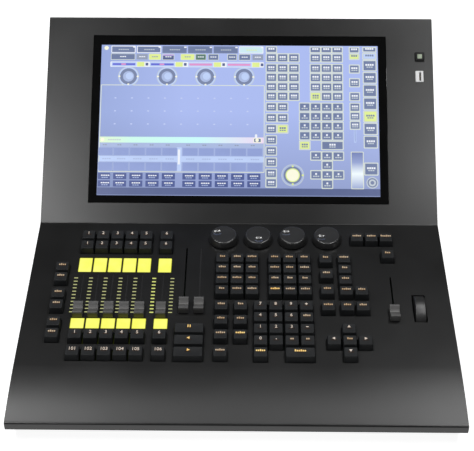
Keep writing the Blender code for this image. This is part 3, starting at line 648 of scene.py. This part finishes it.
def fields_of(keys):
    """Openings (x, y, width, length) for keys: those that stand a key pitch apart share one."""
    near = KEY_PITCH + 0.2
    runs = []
    for y, x, width in sorted(((round(y, 1), x, width) for x, y, width in keys), key=lambda key: (-key[0], key[1])):
        if runs and runs[-1][2] == y and x - runs[-1][3] < near:
            runs[-1][1], runs[-1][3] = x + width / 2, x
        else:
            runs.append([x - width / 2, x + width / 2, y, x])
    fields = []
    for left, right, y, _ in runs:
        for field in fields:
            if abs(field[0] - left) < 0.1 and abs(field[1] - right) < 0.1 and field[2] - y < near:
                field[2] = y
                break
        else:
            fields.append([left, right, y, y])
    grown = 2 * KEY_CLEARANCE
    return [((a + b) / 2, (low + high) / 2, b - a + grown, high - low + KEY + grown) for a, b, low, high in fields]


def fader_slot(name):
    """(x, y, width, length) of the slot that a fader's stem runs in."""
    x, y = middle_of(name, DECK)
    travel = JOINTS[name + "_slide"]["range_m"][1] / MM
    return x, y + travel / 2, FADER_SLOT_WIDTH, travel + STEM_LENGTH + 3


EXEC_X = [x for x, _, _ in KEYS["exec_keys_back"]]


def label_windows(node):
    """(x, y, width, length) of the window over each label display."""
    _, y, _, length = flat_box(node, DECK)
    return [(x, y, LABEL_WIDTH, length + 0.6) for x in EXEC_X]


def led_marks():
    """(column, x, y) of each mark of the level scales."""
    columns = [x - 9.5 for x in EXEC_X[:5]] + [EXEC_X[5] - 12.4, EXEC_X[5] + 10.9]
    middle = middle_of("led_bar_board", DECK)[1]
    rows = [middle + (mark - (LED_MARKS - 1) / 2) * LED_PITCH for mark in range(LED_MARKS)]
    return [(column, x, y) for column, x in enumerate(columns) for y in rows]


# ---- keys and legends

LEGEND_Y = 3.4  # above the middle of its key
LEGEND = (7.6, 8.46)  # its foot and its top above the deck
DIGIT_SIZE = 4.6 / 0.70  # a digit is 4.6 mm high, 0.70 of its type size
MARK_WIDTH, MARK_HEIGHT, MARK_PITCH = 1.75, 2.8, 2.35

# Bars of each sign: x, y, width, length and corner radius
SIGNS = {
    "pause": ((-1.3, 0, 1.2, 4, 0.3), (1.3, 0, 1.2, 4, 0.3)),
    "plus": ((0, 0, 3.4, 0.9, 0.2), (0, -1.1, 0.9, 1.2, 0.2), (0, 1.1, 0.9, 1.2, 0.2)),
    "minus": ((0, 0, 3.2, 1, 0.2),),
    "dot": ((0, -1, 1.2, 1.2, 0.5),),
}
ARROWS = {"right": 0, "up": 90, "left": 180, "down": 270}
ARROW = ((2.2, 0), (-1.2, 1.9), (-1.2, -1.9))


def key_cap(bm, x, y, width):
    """A tapered cap with a sloping front, soft edges and a shallow dish on top."""
    taper = width - KEY
    # each ring's width, length, height, corner radius and how far back it is set
    profile = (
        (17.5, 17.5, -2.9, 0.6, 0),
        (17.5, 17.5, KEY_SKIRT, 0.8, 0),
        (17, 16.6, 3, 1, 0.2),
        (16.4, 15.4, 6.4, 1.1, 0.55),
        (16.1, 14.8, 7.7, 1.3, 0.7),
        (15.8, 14.4, 8.15, 1.4, 0.8),
        (15.3, 13.9, 8.4, 1.4, 0.8),
        (14.8, 13.4, KEY_HEIGHT, 1.4, 0.8),
        (13.2, 12, 8.4, 1.8, 0.8),
        (9, 8.4, 8.2, 2.2, 0.8),
        (4, 4, 8.1, 1.6, 0.8),
    )
    skin(bm, [rounded(x, y + back, w + taper, l, z, radius) for w, l, z, radius, back in profile])


def add_text(bm, text, x, y, look):
    """Raised figures, centred on (x, y)."""
    curve = bpy.data.curves.new("figures", "FONT")
    curve.body = text
    curve.align_x, curve.align_y = "CENTER", "CENTER"
    curve.size = DIGIT_SIZE
    curve.extrude = (LEGEND[1] - LEGEND[0]) / 2
    curve.resolution_u = 2
    obj = add_object("figures", curve)
    mesh = evaluated_mesh(obj)
    bpy.data.objects.remove(obj)
    mesh.transform(Matrix.Translation((x, y, sum(LEGEND) / 2)))
    before = len(bm.faces)
    bm.from_mesh(mesh)
    bpy.data.meshes.remove(mesh)
    bm.faces.ensure_lookup_table()
    for face in bm.faces[before:]:
        face.material_index = look


def add_marks(bm, count, x, y, look):
    """A row of small lit marks that stands for a word."""
    for i in range(count):
        tall = MARK_HEIGHT * (0.72 if (i * 5 + count) % 3 else 1)
        across = x + (i - (count - 1) / 2) * MARK_PITCH
        slab(bm, across, y + (tall - MARK_HEIGHT) / 2, MARK_WIDTH, tall, *LEGEND, 0.3, look)


def add_sign(bm, kind, x, y, look):
    """A plain sign: a few bars, or an arrow."""
    for a, b, width, length, radius in SIGNS.get(kind, ()):
        slab(bm, x + a, y + b, width, length, *LEGEND, radius, look)
    if kind in ARROWS:
        turn = Matrix.Rotation(radians(ARROWS[kind]), 2)
        tips = [turn @ Vector(tip) for tip in ARROW]
        skin(bm, [[(x + a, y + b, z) for a, b in tips] for z in LEGEND], look)


def legend(bm, text, x, y):
    """What a key says: a figure, a sign's name, or m and a number of marks. A leading * makes it amber."""
    look, word_look = (2, 2) if text.startswith("*") else (1, 4)
    text = text.lstrip("*")
    y += LEGEND_Y
    if text[0] == "m" and text[1:].isdigit():
        add_marks(bm, int(text[1:]), x, y, word_look)
    elif text.isdigit():
        add_text(bm, text, x, y, look)
    else:
        add_sign(bm, text, x, y, look)
    slab(bm, x, y - 2.6, 7.5, 0.8, LEGEND[0], LEGEND[1] - 0.14, 0.3, 3)


def make_keys():
    looks = ["key", "legend", "legend_amber", "halo", "legend_word"]
    for mat, keys in KEYS.items():

        def fill(bm):
            for (x, y, width), text in zip(keys, MATS[mat][1].split()):
                key_cap(bm, x, y, width)
                legend(bm, text, x, y)

        piece(mat + "_caps", DECK, fill, looks, "key_cap", mat, mat, 35)


# ---- faders, lights and labels

CAP_END = 10.25  # faces further than this from a cap's middle are its two ends
CAP_CORE = Vector((0, 5.5))  # what a cap's corners are drawn in towards
# A fader cap's section along its travel, to its middle: one finger scoop from ridge to ridge
CAP_HALF = [(-10.5, 1), (-10.45, 5), (-10.3, 8), (-10, 9.1), (-9.4, 9.75), (-8.6, 10), (-7.8, 9.9)]
CAP_HALF += [(-6.8, 9.3), (-5.6, 8.4), (-4.4, 7.5), (-3.2, 6.7), (-2, 6.2), (-0.8, 6)]
CAP_SECTION = CAP_HALF + [(-y, z) for y, z in reversed(CAP_HALF)]


def make_fader_caps():
    for name in FADERS:
        x, y, width, _ = flat_box(name, DECK)
        half = width / 2

        def fill(bm):
            # how far each section is from the cap's middle, and how much it is drawn in
            steps = [(half - 0.9, 0.8), (half - 0.25, 0.25), (half, 0)]
            sections = []
            for across, shrink in [(-wide, shrink) for wide, shrink in steps] + steps[::-1]:
                section = []
                for a, b in CAP_SECTION:
                    inward = (CAP_CORE - Vector((a, b))).normalized() * shrink
                    section.append((x + across, y + a + inward.x, b + inward.y if b > 1.5 else b))
                sections.append(section)
            skin(bm, sections)
            # faces at the two ends take the third look, which on exec caps is painted shade
            for face in bm.faces:
                if abs(face.calc_center_median().y - y) > CAP_END:
                    face.material_index = 2
            slab(bm, x, y, 2 * half - 0.2, 1.2, 5.4, 6.6, 0.3, 1, 0.2)
            stem = [(x + a, y + b) for a, b in ((-0.6, -4), (0.6, -4), (0.6, 4), (-0.6, 4))]
            skin(bm, [[(*corner, z) for corner in stem] for z in (-12, 2)])

        # the exec caps' ends get a darker finish, painted shade against the glow of the label displays
        looks = ["cap", "cap_line", "cap_end_shade" if name.startswith("exec") else "cap"]
        piece(name + "_cap", DECK, fill, looks, "fader_cap", name, name, 40)


def make_labels():
    for node in LABEL_ROWS:

        def fill(bm):
            for x, y, width, length in label_windows(node):
                slab(bm, x, y, width - 0.3, length - 0.3, -3.5, -0.35, 0.5, 1)
                slab(bm, x, y, width - 1.1, length - 1.1, -0.6, -0.22, 0.9)

        piece(node + "_windows", DECK, fill, ["label", "label_rim"], "label_display", stands_for=node)


def level_scales(bm):
    for column, x, y in led_marks():
        bright = column == BRIGHT_COLUMN
        slab(bm, x, y, LED_WIDTH, LED_LENGTH + 0.4 * bright, -3, 0.12, 0.35, int(bright))


def slot_seals(bm):
    """Lips of soft strip that close the playback slots, except on the two faders with open slots."""
    for name in FADERS:
        if name not in OPEN_SLOTS:
            x, y, width, length = fader_slot(name)
            slab(bm, x, y, width + 3, length + 3, -SHEET - 0.9, -SHEET - 0.3, 0.5)
            slab(bm, x, y, width - 0.2, length - 0.2, -SHEET - 0.5, -0.3, 0.5)


# ---- display picture

# The lit picture, in millimetres right and down from its upper left corner
PICTURE_WIDTH, PICTURE_HEIGHT = 380, 213
PICTURE_X, PICTURE_TOP = -1, 252.4  # its middle and its upper edge on the screen panel
PICTURE_UNITS = (382, 215)  # the grid that its shapes are laid out on
PICTURE_LAYER = 0.02
PICTURE_BASE = local_box("screen_glass", SCREEN)[1].z + 0.01
TILE_WIDTH, TILE_HEIGHT = 15.6, 13

SCREEN_COLOURS = {
    "header": (191, 210, 249), "box": (146, 162, 214), "line": (232, 238, 214),
    "pale": (196, 206, 214), "tile": (112, 126, 164), "mark": (240, 244, 252),
    "strip": (90, 102, 146), "cell": (80, 94, 150), "yellow": (226, 242, 150),
    "disc": (252, 251, 226), "ring": (122, 134, 168), "hub": (172, 188, 226),
    "lilac": (196, 176, 236), "pink": (226, 150, 206), "green": (92, 126, 118),
    "grey": (150, 160, 184), "blue": (104, 112, 216), "dot": (196, 208, 246),
    "tab": (206, 236, 244),
}
BACKDROP = ((0, (152, 169, 220)), (0.3, (171, 187, 240)), (1, (171, 187, 240)))
AQUA = ((0, (226, 248, 206)), (0.2, (206, 250, 236)), (0.6, (203, 251, 251)), (1, (238, 216, 244)))
SLIDER = ((0, (140, 156, 206)), (0.45, (240, 250, 255)), (0.75, (150, 164, 210)), (1, (118, 132, 184)))
PICTURE_LOOKS = [*SCREEN_COLOURS, "backdrop", "aqua", "slider"]


def height_of(down):
    """How high above the table a line of the picture stands, in metres."""
    return (SCREEN @ Vector((0, PICTURE_TOP - down, 0))).z


def across_of(right):
    return (PICTURE_X - PICTURE_WIDTH / 2 + right) * MM


def add_picture_looks():
    for name, colour in SCREEN_COLOURS.items():
        LOOKS["picture_" + name] = lit("picture_" + name, colour, dimmed=PICTURE_MOTTLE)
    left = across_of(0)
    shade = (height_of(PICTURE_HEIGHT), height_of(0.45 * PICTURE_HEIGHT))
    LOOKS["picture_backdrop"] = graded_light("backdrop", "X", left, across_of(PICTURE_WIDTH), BACKDROP, shade)
    LOOKS["picture_aqua"] = graded_light("aqua", "X", left, across_of(224), AQUA)
    LOOKS["picture_slider"] = graded_light("slider", "Z", height_of(205), height_of(153), SLIDER)


# The picture is closed, paper-thin shapes on the glass, each layer a little above the one that it lies on


def level(layer):
    low = PICTURE_BASE + PICTURE_LAYER * layer
    return low, low + PICTURE_LAYER


def spot(right, down):
    across, along = right / PICTURE_UNITS[0], down / PICTURE_UNITS[1]
    return PICTURE_X + PICTURE_WIDTH * (across - 0.5), PICTURE_TOP - PICTURE_HEIGHT * along


def rect(bm, left, top, right, bottom, look, layer=1, radius=0.5):
    left, right = max(left, 0), min(right, PICTURE_UNITS[0])
    x, y = spot((left + right) / 2, (top + bottom) / 2)
    slab(bm, x, y, right - left, bottom - top, *level(layer), radius, PICTURE_LOOKS.index(look))


def dot(bm, right, down, half, look, layer):
    rect(bm, right - 1.3, down - half, right + 1.3, down + half, look, layer)


def framed(bm, left, top, right, bottom, fill, edge, wide, layer):
    """A rectangle with a light edge round it."""
    rect(bm, left, top, right, bottom, edge, layer, 1)
    rect(bm, left + wide, top + wide, right - wide, bottom - wide, fill, layer + 1)


def disc(bm, right, down, radius, look, layer):
    turned(bm, (*spot(right, down), 0), [(radius, z) for z in level(layer)], 40, PICTURE_LOOKS.index(look))


def rings(bm, right, down, circles):
    """Discs on one centre, from the largest up: radius and look."""
    for layer, (radius, look) in enumerate(circles, 1):
        disc(bm, right, down, radius, look, layer)


def words(bm, left, down, count, look="mark", layer=5, tall=1.6):
    """A row of small blocks where a display has words."""
    for i in range(count):
        start = left + 3 * i
        rect(bm, start, down - tall / 2, start + 2.4, down + tall / 2, look, layer, 0.2)


def tile(bm, left, down, fill="tile", wide=TILE_WIDTH, tall=TILE_HEIGHT, count=3):
    """A framed button about the line `down`, with its two lines of words."""
    top, bottom = down - tall / 2, down + tall / 2
    rect(bm, left, top, left + wide, bottom, "line", 2, 1)
    framed(bm, left + 0.6, top + 0.6, left + wide - 0.6, bottom - 0.6, fill, "pale", 0.9, 3)
    dark = fill in ("yellow", "header", "tab")
    start = left + (wide - 3 * count) / 2 + 0.3
    words(bm, start, down - 1.2, count, "ring" if dark else "mark", tall=2.6)
    if tall > 10:
        words(bm, left + wide / 2 - 4.2, down + 2.1, 3, "ring" if dark else "pale")


def draw_tabs(bm):
    """The row of tabs along the top, the row of small tiles below it, and the strip of colour bars."""
    for i in range(6):
        left = 12.6 + 35.6 * i
        outline = "mark" if i in (0, 1, 5) else "ring"
        framed(bm, left, 0.3, left + 33.6, 10.8, "tab" if i == 5 else "tile", outline, 1.1, 2)
        words(bm, left + 10, 5.8, 5, "pale" if i < 5 else "yellow", tall=1.3)
        rect(bm, left + 30, 1, left + 33.4, 3, "mark", 4)
    disc(bm, 5.8, 3.6, 3, "disc", 2)
    row = (
        (12.4, 33.5, "tile"), (47.5, 16.4, "grey"), (65, 16.8, "yellow"), (84, 16.3, "strip"),
        (109.3, 19.3, "yellow"), (129.9, 14.8, "green"), (147.3, 14.8, "tile"), (174.2, 13.2, "tile"),
        (190.1, 16.3, "tile"), (208.6, 15.8, "grey"),
    )
    for left, wide, fill in row:
        framed(bm, left, 11.9, left + wide, 21, fill, "hub" if fill == "grey" else "line", 0.6, 2)
        words(bm, left + wide / 2 - 4.2, 16.3, 3, "grey" if fill == "yellow" else "mark", tall=1.4)
    rect(bm, 84.6, 12.6, 99.6, 14.6, "lilac", 4)
    rect(bm, 12.4, 23.6, 224.4, 31.4, "mark", 2, 1)
    for i, fill in enumerate(("blue", "blue", "pink", "pink")):
        left = 13.4 + 53.3 * i
        rect(bm, left, 24.2, left + 34.8, 30.8, "header", 3)
        rect(bm, left + 1.5, 26, left + 33, 29, fill, 4)
        rect(bm, left + 13.5, 26.4, left + 20, 28.6, "pink", 5)
        rect(bm, left + 35.6, 24.2, left + 45.6, 30.8, "yellow", 3)
        rect(bm, left + 47.3, 25.4, left + 51, 29.4, "strip", 3)


def draw_encoder_rings(bm):
    for i in range(4):
        right, down = 37.5 + 53.4 * i, 45.4
        rings(bm, right, down, ((14.4, "pale"), (13.6, "header"), (11.8, "ring"), (7.6, "hub")))
        disc(bm, right + 1.2, down - 0.6, 5, "header", 5)
        for across, up in ((-12.6, 0), (12.6, 0), (0, -11.6)):
            dot(bm, right + across, down - up, 1.1, "disc", 5)


def draw_layout_window(bm):
    """The large window with its grid of dots, and the bar under it."""
    framed(bm, 0.4, 58.2, 225.5, 182.6, "backdrop", "line", 0.9, 1)
    for row in range(3):
        for column in range(9):
            dot(bm, 20.3 + 22.8 * column, 76.9 + 18.8 * row, 0.9, "dot", 3)
    rect(bm, 1.4, 133, 224.4, 141.4, "aqua", 3)
    words(bm, 12, 137.3, 6, "pale", 4)
    disc(bm, 4.4, 137.3, 2.6, "disc", 4)
    framed(bm, 211, 133.8, 222, 140.6, "tile", "disc", 1, 4)
    disc(bm, 216, 137, 2.4, "disc", 6)
    rect(bm, 213, 128.6, 216.2, 134.6, "mark", 6, 1.2)


def draw_boxes(bm):
    """Two rows of boxes, a column for each fader, and the label cells under them."""
    rect(bm, 1.4, 141.6, 224.4, 147.8, "hub", 3)
    rect(bm, 1.4, 160.4, 224.4, 168.5, "header", 3)
    rect(bm, 106.1, 148, 113.2, 181.6, "header", 3)
    rect(bm, 108, 151, 111, 172, "mark", 4)
    for left in [start + 22.05 * column for start in (-2, 114.2) for column in range(5)]:
        inner = max(left, 0)
        for top, bottom in ((148.4, 160), (169, 181.4)):
            rect(bm, left, top, left + 21.2, bottom, "hub", 3)
            rect(bm, left + 0.5, top + 0.5, left + 20.7, bottom - 0.5, "box", 4)
        words(bm, inner + 5, 164.4, 4, "hub", 4)
        words(bm, inner + 5, 144.6, 2, "grey", 4)
        for top, bottom in ((184.6, 193.4), (195.2, 203.8)):
            rect(bm, left + 0.6, top, left + 18.4, bottom, "cell", 2)
            words(bm, inner + 4, (top + bottom) / 2 - 1, 4, "mark", 3)
            words(bm, inner + 5, (top + bottom) / 2 + 2, 3, "hub", 3, tall=1.2)
    rect(bm, 0.4, 205.2, *PICTURE_UNITS, "strip", 1)


GROUP_ROWS = [32.1 + 13.75 * i for i in range(4)]
LIST_ROWS = [88.8 + 15.85 * i for i in range(7)]
PAD_ROWS = [88.8 + 13.8 * i for i in range(4)]
PAD_COLUMNS = (273.4, 288.6, 303.8, 319)


def draw_tiles(bm):
    """The framed buttons that fill the right of the picture."""
    for down in (4.9, 16.9, *GROUP_ROWS, *LIST_ROWS, 197.4):
        tile(bm, 227.6, down, tall=9.4 if down < 10 else TILE_HEIGHT)
    for down in (16.9, *GROUP_ROWS, *LIST_ROWS[:3]):
        tile(bm, 243.2, down, "yellow" if down == LIST_ROWS[2] else "tile")
    for down in (16.9, *GROUP_ROWS):
        tile(bm, 258.8, down)
    for left in PAD_COLUMNS[1:]:
        for down in (4.9, 16.9, *GROUP_ROWS):
            last = down == GROUP_ROWS[-1] and left == PAD_COLUMNS[1]
            tile(bm, left, down, "yellow" if last else "tile", tall=9.4 if down < 10 else TILE_HEIGHT)
    for left in PAD_COLUMNS:
        for down in PAD_ROWS:
            tile(bm, left, down, count=1)
    tile(bm, PAD_COLUMNS[0], 143.9, "yellow")
    tile(bm, PAD_COLUMNS[2], 143.9, wide=30.4)
    for left in PAD_COLUMNS[1:]:
        tile(bm, left, 158.9, count=1)
        tile(bm, left, 185.6, count=1)
    for down in (172.3, 198.8):
        tile(bm, PAD_COLUMNS[2], down, count=1)


def draw_dial_and_sliders(bm):
    right, down = 264.6, 186.4
    rings(bm, right, down, ((15.4, "pale"), (14.4, "hub"), (12.4, "ring"), (9.6, "yellow"), (8.2, "disc")))
    for across, up in ((13.6, 0), (0, -12.6), (0, 12.6)):
        dot(bm, right + across, down - up, 1.2, "yellow", 5)
    for down in (5, 14.8, 32.9, 53, 73.3, 88.7, 101.6, 114.8):
        tall = 9.2 if down < 20 else 12.4 if down > 100 else TILE_HEIGHT
        tile(bm, 343, down, "yellow" if down == 14.8 else "tile", 14.6, tall)
    rect(bm, 348.6, 121.4, 351.6, 139.4, "header", 2)
    rect(bm, 349.5, 121.4, 350.7, 138.4, "box", 3)
    framed(bm, 344, 152.8, 361.2, 205.2, "slider", "line", 0.9, 2)
    column = (
        (0.4, 8.2, "tile"), (9.2, 19, "header"), (19.8, 36, "tile"), (37.4, 54, "tile"),
        (55.6, 73.6, "tile"), (74.6, 92.4, "tile"), (93.4, 110.4, "yellow"), (111.2, 128.4, "tile"),
        (129.8, 147.6, "tile"), (168, 186, "tile"),
    )
    for top, bottom, fill in column:
        tile(bm, 361.8, (top + bottom) / 2, fill, 19.2, bottom - top, 4)
    rings(bm, 372.6, 196.4, ((8, "pale"), (6.6, "ring"), (4.8, "pale"), (2.6, "ring")))


def display_picture(bm):
    rect(bm, 0, 0, *PICTURE_UNITS, "backdrop", 0)
    draw_tabs(bm)
    draw_encoder_rings(bm)
    draw_layout_window(bm)
    draw_boxes(bm)
    draw_tiles(bm)
    draw_dial_and_sliders(bm)


# ---- dials and wheel

DIAL_TOP = 9.4
DIMPLE_AT, DIMPLE_RADIUS, DIMPLE_DEPTH = 9.1, 5.7, 1.3
DIMPLE_TURNS = (158, 275, 158, 211)
# (radius, height) from the shaft round the wall to the middle of the top
DIAL_PROFILE = [(3, -15), (3, 1), (18.9, 1), (19.3, 1.3), (19.45, 1.9), (19.4, 2.6), (19.2, 3.2)]
DIAL_PROFILE += [(18.8, 4.2), (18.3, 5.3), (17.8, 6.4), (17.4, 7.3), (16.9, 8.15), (16.4, 8.75), (15.9, 9.15)]
DIAL_PROFILE += [(15.4, 9.36)] + [(14.9 - 0.42 * step, DIAL_TOP) for step in range(35)]
# (radius, distance along the axle) of one half of the wheel
WHEEL_HALF = [(2, -10.2), (2, -6.5), (25.3, -6.5), (25.8, -6.4), (26.15, -6.15), (26.4, -5.75), (26.5, -5.2)]


def make_dials():
    for i, degrees in enumerate(DIMPLE_TURNS, 1):
        name = f"encoder_dial_{i}"
        centre = Vector((*middle_of(name, DECK), 0))
        dimple = centre + DIMPLE_AT * Vector((cos(radians(degrees)), sin(radians(degrees)), 0))

        def fill(bm):
            turned(bm, centre, DIAL_PROFILE, 128)
            for vertex in bm.verts:
                offset = (Vector((vertex.co.x, vertex.co.y, 0)) - dimple).length / DIMPLE_RADIUS
                if vertex.co.z > DIAL_TOP - 0.01 and offset < 1:
                    vertex.co.z -= DIMPLE_DEPTH * (1 - offset**2)
            for face in bm.faces:
                middle = face.calc_center_median()
                flat = Vector((middle.x, middle.y, 0))
                if (flat - centre).length > 15:
                    face.material_index = 2
                elif middle.z > 7.5 and (flat - dimple).length < DIMPLE_RADIUS - 0.2:
                    face.material_index = 1

        piece(name + "_knob", DECK, fill, ["dial", "dimple", "dial_edge"], "encoder_dial", name, name, 50)


def wheel_drum(bm):
    centre = DECK.inverted() @ Vector(JOINTS["level_wheel_turn"]["pos_m"])
    profile = WHEEL_HALF + [(radius, -along) for radius, along in reversed(WHEEL_HALF)]
    turned(bm, centre, profile, 128, across=True)


# ---- screen button, ports and the outside of the case

CONTROL_SOCKETS = ("dmx_socket_left", "dmx_socket_right")
SCREW_HEAD = ((1, -0.4), (1, 0.35), (0.93, 0.8), (0.75, 1.15), (0.55, 1.3), (0.2, 1.38))  # share of radius, height
SCREW_EDGE = 7  # from the rear panel's edge to its screws
SIDE_SCREW_HEIGHT = 16
ROCKER_MARK = (5.26, 5.86)  # foot and top of the rocker's marks, from its pivot


def screen_button(bm):
    x, y, size, _ = flat_box("screen_button", SCREEN)
    foot, top = [corner.z for corner in local_box("screen_button", SCREEN)]
    slab(bm, x, y, 6, 6, foot, -4.5, 0.6)
    slab(bm, x, y, size, size, -5, top - 0.1, 1.4, 0, 0.7)
    slab(bm, x, y, LIT_FACE * size, LIT_FACE * size, top - 0.5, top, 0.6, 1, 0.1)


def usb_tongue(bm):
    x, y = middle_of("screen_usb_port", SCREEN)
    slab(bm, x + 1.5, y, 0.9, 10.4, -9.8, -0.4, 0.2)
    for i in range(4):
        slab(bm, x + 0.95, y - 3.6 + 2.4 * i, 0.25, 1.1, -8, -0.8, 0.1, 1)


def screw(bm, x, y, base, radius=2.6):
    """A domed screw head with a cross recess, standing on the height base."""
    turned(bm, (x, y, 0), [(radius * share, base + rise) for share, rise in SCREW_HEAD], 24)
    for width, length in ((0.36, 1.1), (1.1, 0.36)):
        slab(bm, x, y, width * radius, length * radius, base + 1, base + 1.42, 0.1, 1)


def rear_screws(bm):
    low, high = local_box("rear_panel", REAR)
    left, right = low.x + SCREW_EDGE, high.x - SCREW_EDGE
    for across in [left + (right - left) * i / 5 for i in range(6)]:
        screw(bm, across, low.y + SCREW_EDGE, high.z)
        screw(bm, across, high.y - SCREW_EDGE, high.z)
    for up in (low.y + (high.y - low.y) * share for share in (0.35, 0.65)):
        screw(bm, left, up, high.z)
        screw(bm, right, up, high.z)
    low, high = local_box("mains_inlet", REAR)
    for across in (low.x + 2.6, high.x - 2.6):
        screw(bm, across, (low.y + high.y) / 2, high.z, 1.7)
    for name in CONTROL_SOCKETS:
        low, high = local_box(name, REAR)
        screw(bm, low.x + 3.4, high.y - 3.4, high.z, 1.7)
        screw(bm, high.x - 3.4, low.y + 3.4, high.z, 1.7)


def rear_contacts(bm):
    """Pins of the control sockets and the inlet, the network port's contacts and the two USB tongues."""
    for name in CONTROL_SOCKETS:
        x, y = middle_of(name, REAR)
        top = local_box(name, REAR)[1].z
        pin = [(1.45, -10.5), (1.45, top - 1.6), (1.25, top - 1.3), (0.75, top - 1.3), (0.7, -9)]
        for degrees in range(18, 360, 72):
            angle = radians(degrees)
            turned(bm, (x + 5.5 * cos(angle), y + 5.5 * sin(angle), 0), pin, 16)
    x, y = middle_of("mains_inlet", REAR)
    for across, up in ((-7, -1.5), (0, 2.5), (7, -1.5)):
        slab(bm, x - 12 + across, y + up, 2.3, 4.3, -15.5, -2.4, 0.4, 1, 0.4)
    x, y = middle_of("network_usb_ports", REAR)
    for i in range(8):
        slab(bm, x - 8.5 + 1.05 * (i - 3.5), y + 3.4, 0.5, 0.6, -12, -3, 0.1)
    for up in (-3.5, 3.5):
        slab(bm, x + 8, y + up + 0.4, 10.2, 0.8, -9.5, -0.3, 0.1, 2)


def rocker_marks(bm):
    """A ring and a bar on the two halves of the power rocker."""
    for i in range(12):
        angle = pi * i / 6
        slab(bm, 1.7 * cos(angle), -5.2 + 1.7 * sin(angle), 0.95, 0.95, *ROCKER_MARK, 0.3)
    slab(bm, 0, 5.2, 0.9, 4.2, *ROCKER_MARK, 0.2)


def side_screws(bm):
    """Screws that hold each side panel to the base pan."""
    for side in (-1, 1):
        for along in (-190, -70, 60, 190):
            before = len(bm.verts)
            screw(bm, 0, 0, 0, 2.4)
            bm.verts.ensure_lookup_table()
            seat = Matrix.Translation((side * (HALF_WIDTH - SIDE_INSET), along, SIDE_SCREW_HEIGHT))
            turn = seat @ Matrix.Rotation(side * pi / 2, 4, "Y")
            bmesh.ops.transform(bm, matrix=turn, verts=bm.verts[before:])


def make_feet():
    for node in ("foot_front_left", "foot_front_right", "foot_rear_left", "foot_rear_right"):
        centre = (*middle_of(node, DESK), 0)
        high = local_box(node, DESK)[1]
        radius = high.x - centre[0]
        profile = [(3.4, 2.2), (3.8, 1.4), (4.2, 0.5), (5, 0.1), (6, 0), (radius - 2.2, 0)]
        profile += [(radius - 1.2, 0.25), (radius - 0.4, 0.9), (radius, 1.8), (radius - 0.2, 3.4)]
        profile += [(radius - 1, high.z)]

        def fill(bm):
            turned(bm, centre, profile, 48)

        piece(node + "_pad", DESK, fill, ["rubber"], "rubber_foot", stands_for=node)


BUTTON = ("screen_button", "screen_button")
# Name, panel, what fills it, looks, slot, body, the node that it stands for and its sharpest smooth edge
PIECES = (
    ("slot_seals", DECK, slot_seals, ["seal"], "connector_plastic"),
    ("led_bar_marks", DECK, level_scales, ["led", "led_bright"], "led_bar"),
    ("level_wheel_drum", DECK, wheel_drum, ["wheel"], "level_wheel", "level_wheel", "level_wheel", 45),
    ("display_picture", SCREEN, display_picture, ["picture_" + name for name in PICTURE_LOOKS], "screen_glass"),
    ("screen_button_cap", SCREEN, screen_button, ["bezel", "power_light"], "gloss_button", *BUTTON, 45),
    ("screen_usb_tongue", SCREEN, usb_tongue, ["socket", "brass"], "connector_plastic"),
    ("rear_screws", REAR, rear_screws, ["screw", "socket"], "connector_plastic"),
    ("rear_contacts", REAR, rear_contacts, ["brass", "zinc", "port_white"], "port_shell"),
    ("power_rocker_marks", ROCKER, rocker_marks, ["port_white"], "gloss_button", "power_rocker"),
    ("side_screws", DESK, side_screws, ["screw", "socket"], "connector_plastic"),
)

# Look, slot, edge radius and names of the CAD nodes that are copied
REFINED = (
    ("coat", "powder_coat", 0.25, "base_pan side_panel_left side_panel_right rear_panel"),
    ("glass", "screen_glass", 0.3, "screen_glass"),
    ("port_white", "port_shell", 0.45, "screen_usb_port"),
    ("socket", "connector_plastic", 0.3, "mains_inlet dmx_socket_left dmx_socket_right"),
    ("gloss", "gloss_button", 0.3, "power_rocker"),
    ("zinc", "port_shell", 0.2, "network_usb_ports"),
)
# Finishes of the CAD nodes inside the case
INSIDE = {
    "zinc": "display_module power_supply",
    "board": "led_bar_board playback_board programmer_board main_board",
}


def main():
    make_camera()
    make_floor()
    make_world()
    make_lights()
    add_picture_looks()
    make_top_panel()
    make_keys()
    make_fader_caps()
    make_labels()
    make_dials()
    make_feet()
    for row in PIECES:
        piece(*row)
    for look, slot, bevel, nodes in REFINED:
        for node in nodes.split():
            refined(node, look, bevel)
    for look, nodes in INSIDE.items():
        for node in nodes.split():
            materials = frame["nodes"][node].data.materials
            materials.clear()
            materials.append(LOOKS[look])


main()
